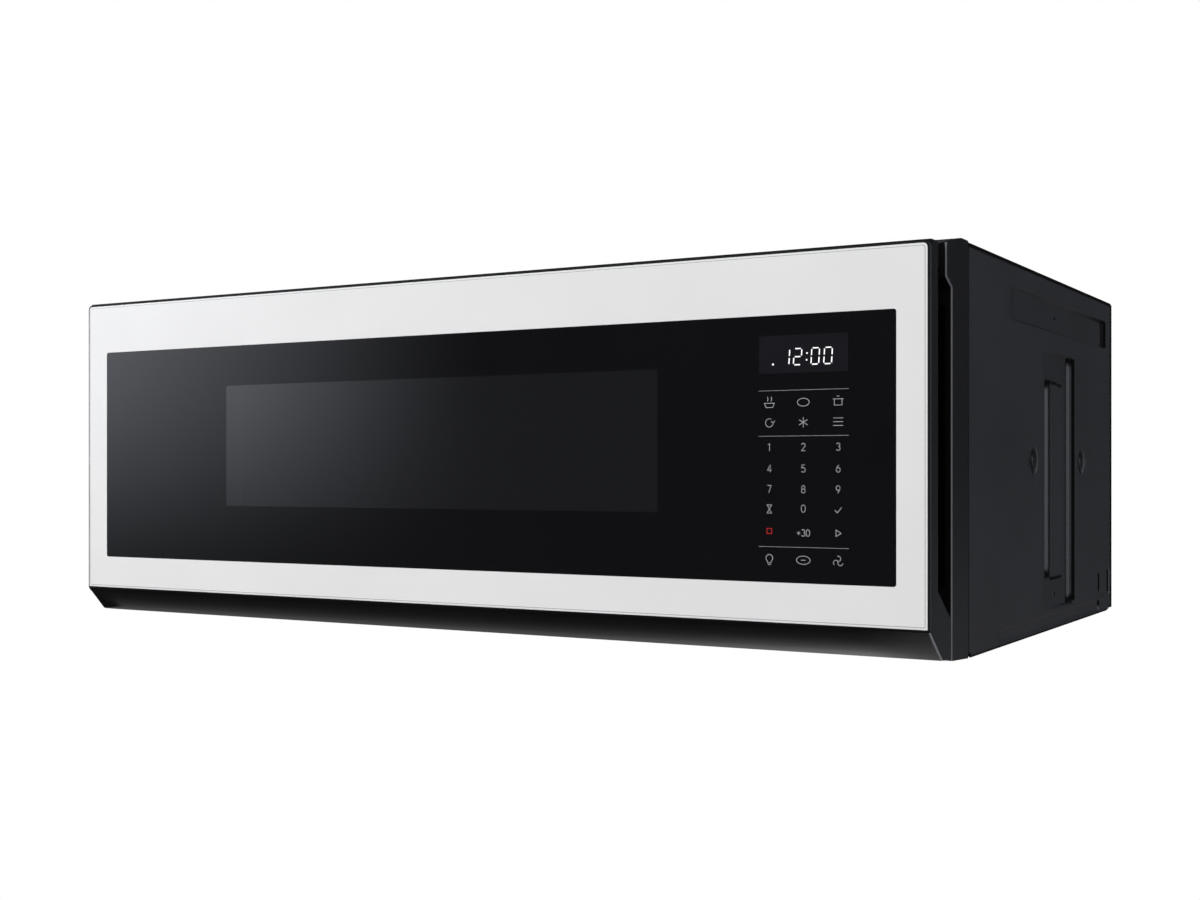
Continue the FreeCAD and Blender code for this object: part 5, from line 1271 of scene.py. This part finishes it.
for radius, height in plate:
    places = [(tray_x + radius * math.cos(t), tray_y + radius * math.sin(t), height) for t in turns]
    rings.append([tray.verts.new([c * mm for c in p]) for p in (places if radius else places[:1])])
for one, two in zip(rings, rings[1:]):
    for n in range(tray_steps):
        m = (n + 1) % tray_steps
        inner = one if len(one) == 1 else (one[n], one[m])
        outer = two if len(two) == 1 else (two[m], two[n])
        tray.faces.new((*inner, *outer))
tray_mesh = smooth_mesh("turntable_plate", tray, 40)
add_piece("turntable_plate", tray_mesh, "tray", "clear_glass", [clear_glass], ["glass_tray"])

white_moulded, at = new_finish("white_moulded")
spark = noise(at, 1100)
pale = {
    "Base Color": tones(noise(at, 25), "d8d7d2", "e4e3df"),
    "Roughness": 0.36 + 0.1 * spark,
    "Normal": bump(spark, 0.00003),
}
close_finish(white_moulded, principled(at, pale))
white_parts = [
    ("roller_ring", 0.3, "roller_ring"),
    ("roller_1", 0.3, "roller_1"),
    ("roller_2", 0.3, "roller_2"),
    ("roller_3", 0.3, "roller_3"),
    ("turntable_coupler", 0.3, "coupler"),
    ("latch_lever", 0.3, "latch"),
    ("latch_body", 0.3),
    ("interlock_switches", 0.3),
    ("board_holder", 0.3),
    ("cooling_fan_housing", 0.3),
    ("cooling_fan_blade", 0.3, "cooling_fan"),
    ("thermostats", 0.3),
]
dress("_moulded", "white_plastic", white_moulded, white_parts)


# Underside
# The base pan of the hood with two lift-out grease filters, each a folded aluminium frame round
# layers of expanded mesh, and two clear lenses over the cooktop lamps.


def brush_lines(place):
    stretched = place.node("ShaderNodeMapping", {}, {"Vector": place, "Scale": (40.0, 900.0, 900.0)})
    return noise(stretched, 1.0, 3.0, 0.6)


def folded_ring(name, x0, x1, y0, y1, corner, steps, edges, body):
    """A closed frame of aluminium, given by its outline and its edges, each an inset and a height."""
    work = bmesh.new()
    rails = []
    for inset, z in edges:
        outline = rounded_outline(x0 + inset, x1 - inset, y0 + inset, y1 - inset, corner, corner, steps)
        rails.append([work.verts.new((x * mm, y * mm, z * mm)) for x, y in outline])
    for one, two in zip(rails, rails[1:] + rails[:1]):
        bridge(work, one, two, 0)
    add_piece(name, smooth_mesh(name, work, 50), body, "aluminium", [brushed])


metal = {"Metallic": 1.0, "Roughness": (0.28, 0.16)}
brushed = patterned("brushed_aluminium", brush_lines, "a7aaad", "c9cccf", metal, fine_relief)
filter_frames = {"left": (-228.0, -28.0), "right": (28.0, 228.0)}
filter_front, filter_rear, filter_low, filter_high, filter_bar = 63.0, 213.0, 0.5, 9.5, 8.0
fold = 0.8
filter_edges = [
    *((0.0, filter_low + fold), (fold, filter_low), (filter_bar - fold, filter_low)),
    *((filter_bar, filter_low + fold), (filter_bar, filter_high - fold)),
    *((filter_bar - fold, filter_high), (fold, filter_high), (0.0, filter_high - fold)),
]
tab_wide, tab_deep, tab_bar, tab_low, tab_high = 34.0, 17.0, 4.5, 1.0, 2.2
tab_edges = [(0.0, tab_low), (0.0, tab_high), (tab_bar, tab_high), (tab_bar, tab_low)]
mesh_pitch, mesh_stretch, mesh_inset, mesh_wave = 4.4, 1.7, 14, 0.5
for side_name, (x0, x1) in filter_frames.items():
    body = "filter_" + side_name
    frame_name = "filter_frame_" + side_name
    folded_ring(frame_name, x0, x1, filter_front, filter_rear, 2.5, 3, filter_edges, body)
    middle_x, middle_y = (x0 + x1) / 2, (filter_front + filter_rear) / 2
    tab_x0, tab_x1 = (x0 + x1 - tab_wide) / 2, (x0 + x1 + tab_wide) / 2
    tab_y = filter_front + filter_bar - 3
    folded_ring("filter_tab_" + side_name, tab_x0, tab_x1, tab_y, tab_y + tab_deep, 3.0, 4, tab_edges, body)
    layers = bmesh.new()
    for z, turn in ((3.4, 0.0), (5.0, math.pi / 2), (6.6, 0.0)):
        across, along = x1 - x0 - mesh_inset, filter_rear - filter_front - mesh_inset
        if turn:
            across, along = along, across
        values = {
            "Columns": int(across / (mesh_pitch * mesh_stretch)),
            "Rows": int(along / (mesh_pitch * 0.866)),
            "Pitch": mesh_pitch * mm,
            "Open Share": 0.74,
            "Stretch": mesh_stretch,
            "Finish": brushed,
        }
        mesh = run_tree("layer", sheet_tree, values)
        middle = Matrix.Translation((middle_x * mm, middle_y * mm, z * mm))
        mesh.transform(middle @ Matrix.Rotation(turn, 4, "Z"))
        for vert in mesh.vertices:
            vert.co.z += mesh_wave * mm * math.sin(vert.co.x * 1400) * math.sin(vert.co.y * 1600)
        layers.from_mesh(mesh)
        bpy.data.meshes.remove(mesh)
    mesh_name = "filter_mesh_" + side_name
    filter_mesh = bpy.data.meshes.new(mesh_name)
    layers.to_mesh(filter_mesh)
    layers.free()
    filter_mesh = with_modifiers(filter_mesh, ("SOLIDIFY", {"thickness": 0.35 * mm, "offset": 0.0}))
    filter_mesh.materials.clear()
    add_piece(mesh_name, filter_mesh, body, "aluminium", [brushed], ["grease_filter_" + side_name])

add_piece("base_pan", eased("base_panel", 0.25), "case", "black_steel", [powder], ["base_panel"])


def ribs(place, scale=160.0, **settings):
    return place.node("ShaderNodeTexWave", settings, {"Vector": place, "Scale": scale}, "Fac")


lens_values = {"Roughness": (0.18, 0.1), "Transmission Weight": 0.9}
lens_glass = patterned("ribbed_lens", ribs, "e6e9ea", "f4f6f6", lens_values, (0.0002, 0.6))
add_piece("cooktop_lenses", eased("lamp_lenses", 0.4), "case", "clear_glass", [lens_glass], ["lamp_lenses"])


# Sheet steel parts
# Galvanised sheet that is cut, folded and spot-welded: rear panel, wall plate, ducts, the exhaust
# collar with its damper flap, and the blower's housing, in which two moulded wheels turn.

sheet_parts = [("rear_panel", 0.2), ("wall_plate", 0.3), ("waveguide", 0.2), ("exhaust_collar", 0.2)]
sheet_parts += [("vent_duct", 0.2), ("damper_flap", 0.2, "damper"), ("blower_housing", 0.2)]
dress("_sheet", "zinc_steel", zinc_plate, [*sheet_parts, ("mounting_nuts", 0.5)])
brackets = [("upper_hinge_bracket", 0.25), ("lower_hinge_bracket", 0.25)]
dress("_steel", "black_steel", powder, brackets)
wheels = [("blower_wheel_left", 0.15, "blower"), ("blower_wheel_right", 0.15, "blower")]
dress("_moulded", "white_plastic", white_moulded, wheels)


# Electrics
# The parts in the bay right of the oven, and the motors.


def granules(place):
    return cells(place, 350.0, "Distance")


metal = {"Metallic": 1.0, "Roughness": (0.32, 0.16)}
motor_steel = patterned("motor_steel", (500, 3.0), "8b8d90", "a5a8ab", metal, (0.00004,))
laminated, at = new_finish("laminated_core")
stack = ribs(at, 500.0, bands_direction="Y")
_, along, up = at.axes()
from_middle = along + 0.1345
from_middle = from_middle.maths("ABSOLUTE", from_middle)
coil = up.smooth(0.0258, 0.0262) * up.smooth(0.0648, 0.0644) * from_middle.smooth(0.0266, 0.0262)
core = {
    "Base Color": coil.between(tones(stack, "4c4e52", "7d8084"), paint("a5562c")),
    "Metallic": 0.8,
    "Roughness": 0.4 + 0.15 * stack,
    "Normal": bump(stack, 0.0002),
}
close_finish(laminated, principled(at, core))
board_green, at = new_finish("circuit_board")
trace = at.node("ShaderNodeTexBrick", {}, {"Vector": at, "Scale": 160.0}, "Fac")
board = {
    "Base Color": tones(trace, "1c4a30", "2d6a44"),
    "Roughness": 0.35 + 0.15 * noise(at, 240),
    "Normal": bump(trace, 0.0001),
}
close_finish(board_green, principled(at, board))
rubber = patterned(
    "black_rubber", (700, 3.0), "161617", "222223", {"Roughness": (0.62, 0.15)}, (0.0001,)
)
carbon = patterned(
    "charcoal_pad", granules, "1c1c1d", "39393a", {"Roughness": (0.8, 0.1)}, (0.001,)
)
dim = {"Roughness": (0.06, 0.03), "Alpha": (0.55, 0.03)}
smoked_sheet = patterned("dark_inner_window", (12, 1.0), "0c0c0e", "101013", dim)
steel_parts = [("magnetron", 0.2), ("turntable_motor", 0.4), ("cooling_fan_motor", 0.8)]
steel_parts += [("blower_motor", 0.5), ("blower_shaft", 0.3, "blower")]
boards = [("relay_board", 0.25), ("touch_board", 0.25, "door"), ("lamp_boards", 0.2)]
for slot, finish, pieces in (
    ("motor_steel", motor_steel, steel_parts),
    ("motor_steel", laminated, [("high_voltage_transformer", 0.5)]),
    ("aluminium", brushed, [("high_voltage_capacitor", 0.6)]),
    ("board", rubber, [("high_voltage_diode", 0.3)]),
    ("board", board_green, boards),
    ("white_plastic", white_moulded, [("cavity_lamp", 0.5)]),
    ("black_rubber", rubber, [("cord_gland", 0.6)]),
    ("charcoal", carbon, [("charcoal_filter", 0.8)]),
    ("dark_window", smoked_sheet, [("inner_window", 0.4, "door")]),
    ("display", screen_tint, [("display_module", 0.2, "door")]),
):
    dress("_dressed", slot, finish, pieces)

spring_tree, g = new_tree(
    "coil_spring",
    {
        "Turns": ("Float", 7.0),
        "Radius": ("Float", 0.0027),
        "Height": ("Float", 0.013),
        "Wire Radius": ("Float", 0.0005),
    },
)
start = g["Points"]
helix = {
    "Resolution": 20,
    "Rotations": g["Turns"],
    "Start Radius": g["Radius"],
    "End Radius": g["Radius"],
    "Height": g["Height"],
}
helix = start.geo("CurveSpiral", helix, "Curve")
wire = {"Resolution": 10, "Radius": g["Wire Radius"]}
wire = start.geo("CurvePrimitiveCircle", wire, "Curve")
tube = {"Curve": helix, "Profile Curve": wire, "Fill Caps": True}
tube = start.geo("CurveToMesh", tube, "Mesh")
plain = start.geo("RealizeInstances", {"Geometry": tube})
close_tree(spring_tree, plain, g["Finish"])
spring_mesh = run_tree("return_spring", spring_tree, {"Finish": motor_steel})
spring_mesh.shade_smooth()
spring_x, spring_y, spring_low, spring_high = 0.3, -0.2248, 0.2087, 0.2222
spring_mesh.transform(Matrix.Translation((spring_x, spring_y, spring_low)))
spring = add_piece("return_spring", spring_mesh, "door", "motor_steel", [], ["latch_spring"])
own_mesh(spring)

door_rows, door_columns = (52.0, 142.0, 236.0), (-328.75, 336.0)
door_points = [(x * mm, -218.0 * mm, z * mm) for x in door_columns for z in door_rows]
to_rear = [(0, 1, 0)] * len(door_points)
heads = run_tree("door_screw_heads", screw_tree, {"Finish": zinc_screw}, door_points, to_rear)
add_piece("door_screw_heads", heads, "door", "screws", [], ["door_screws"])
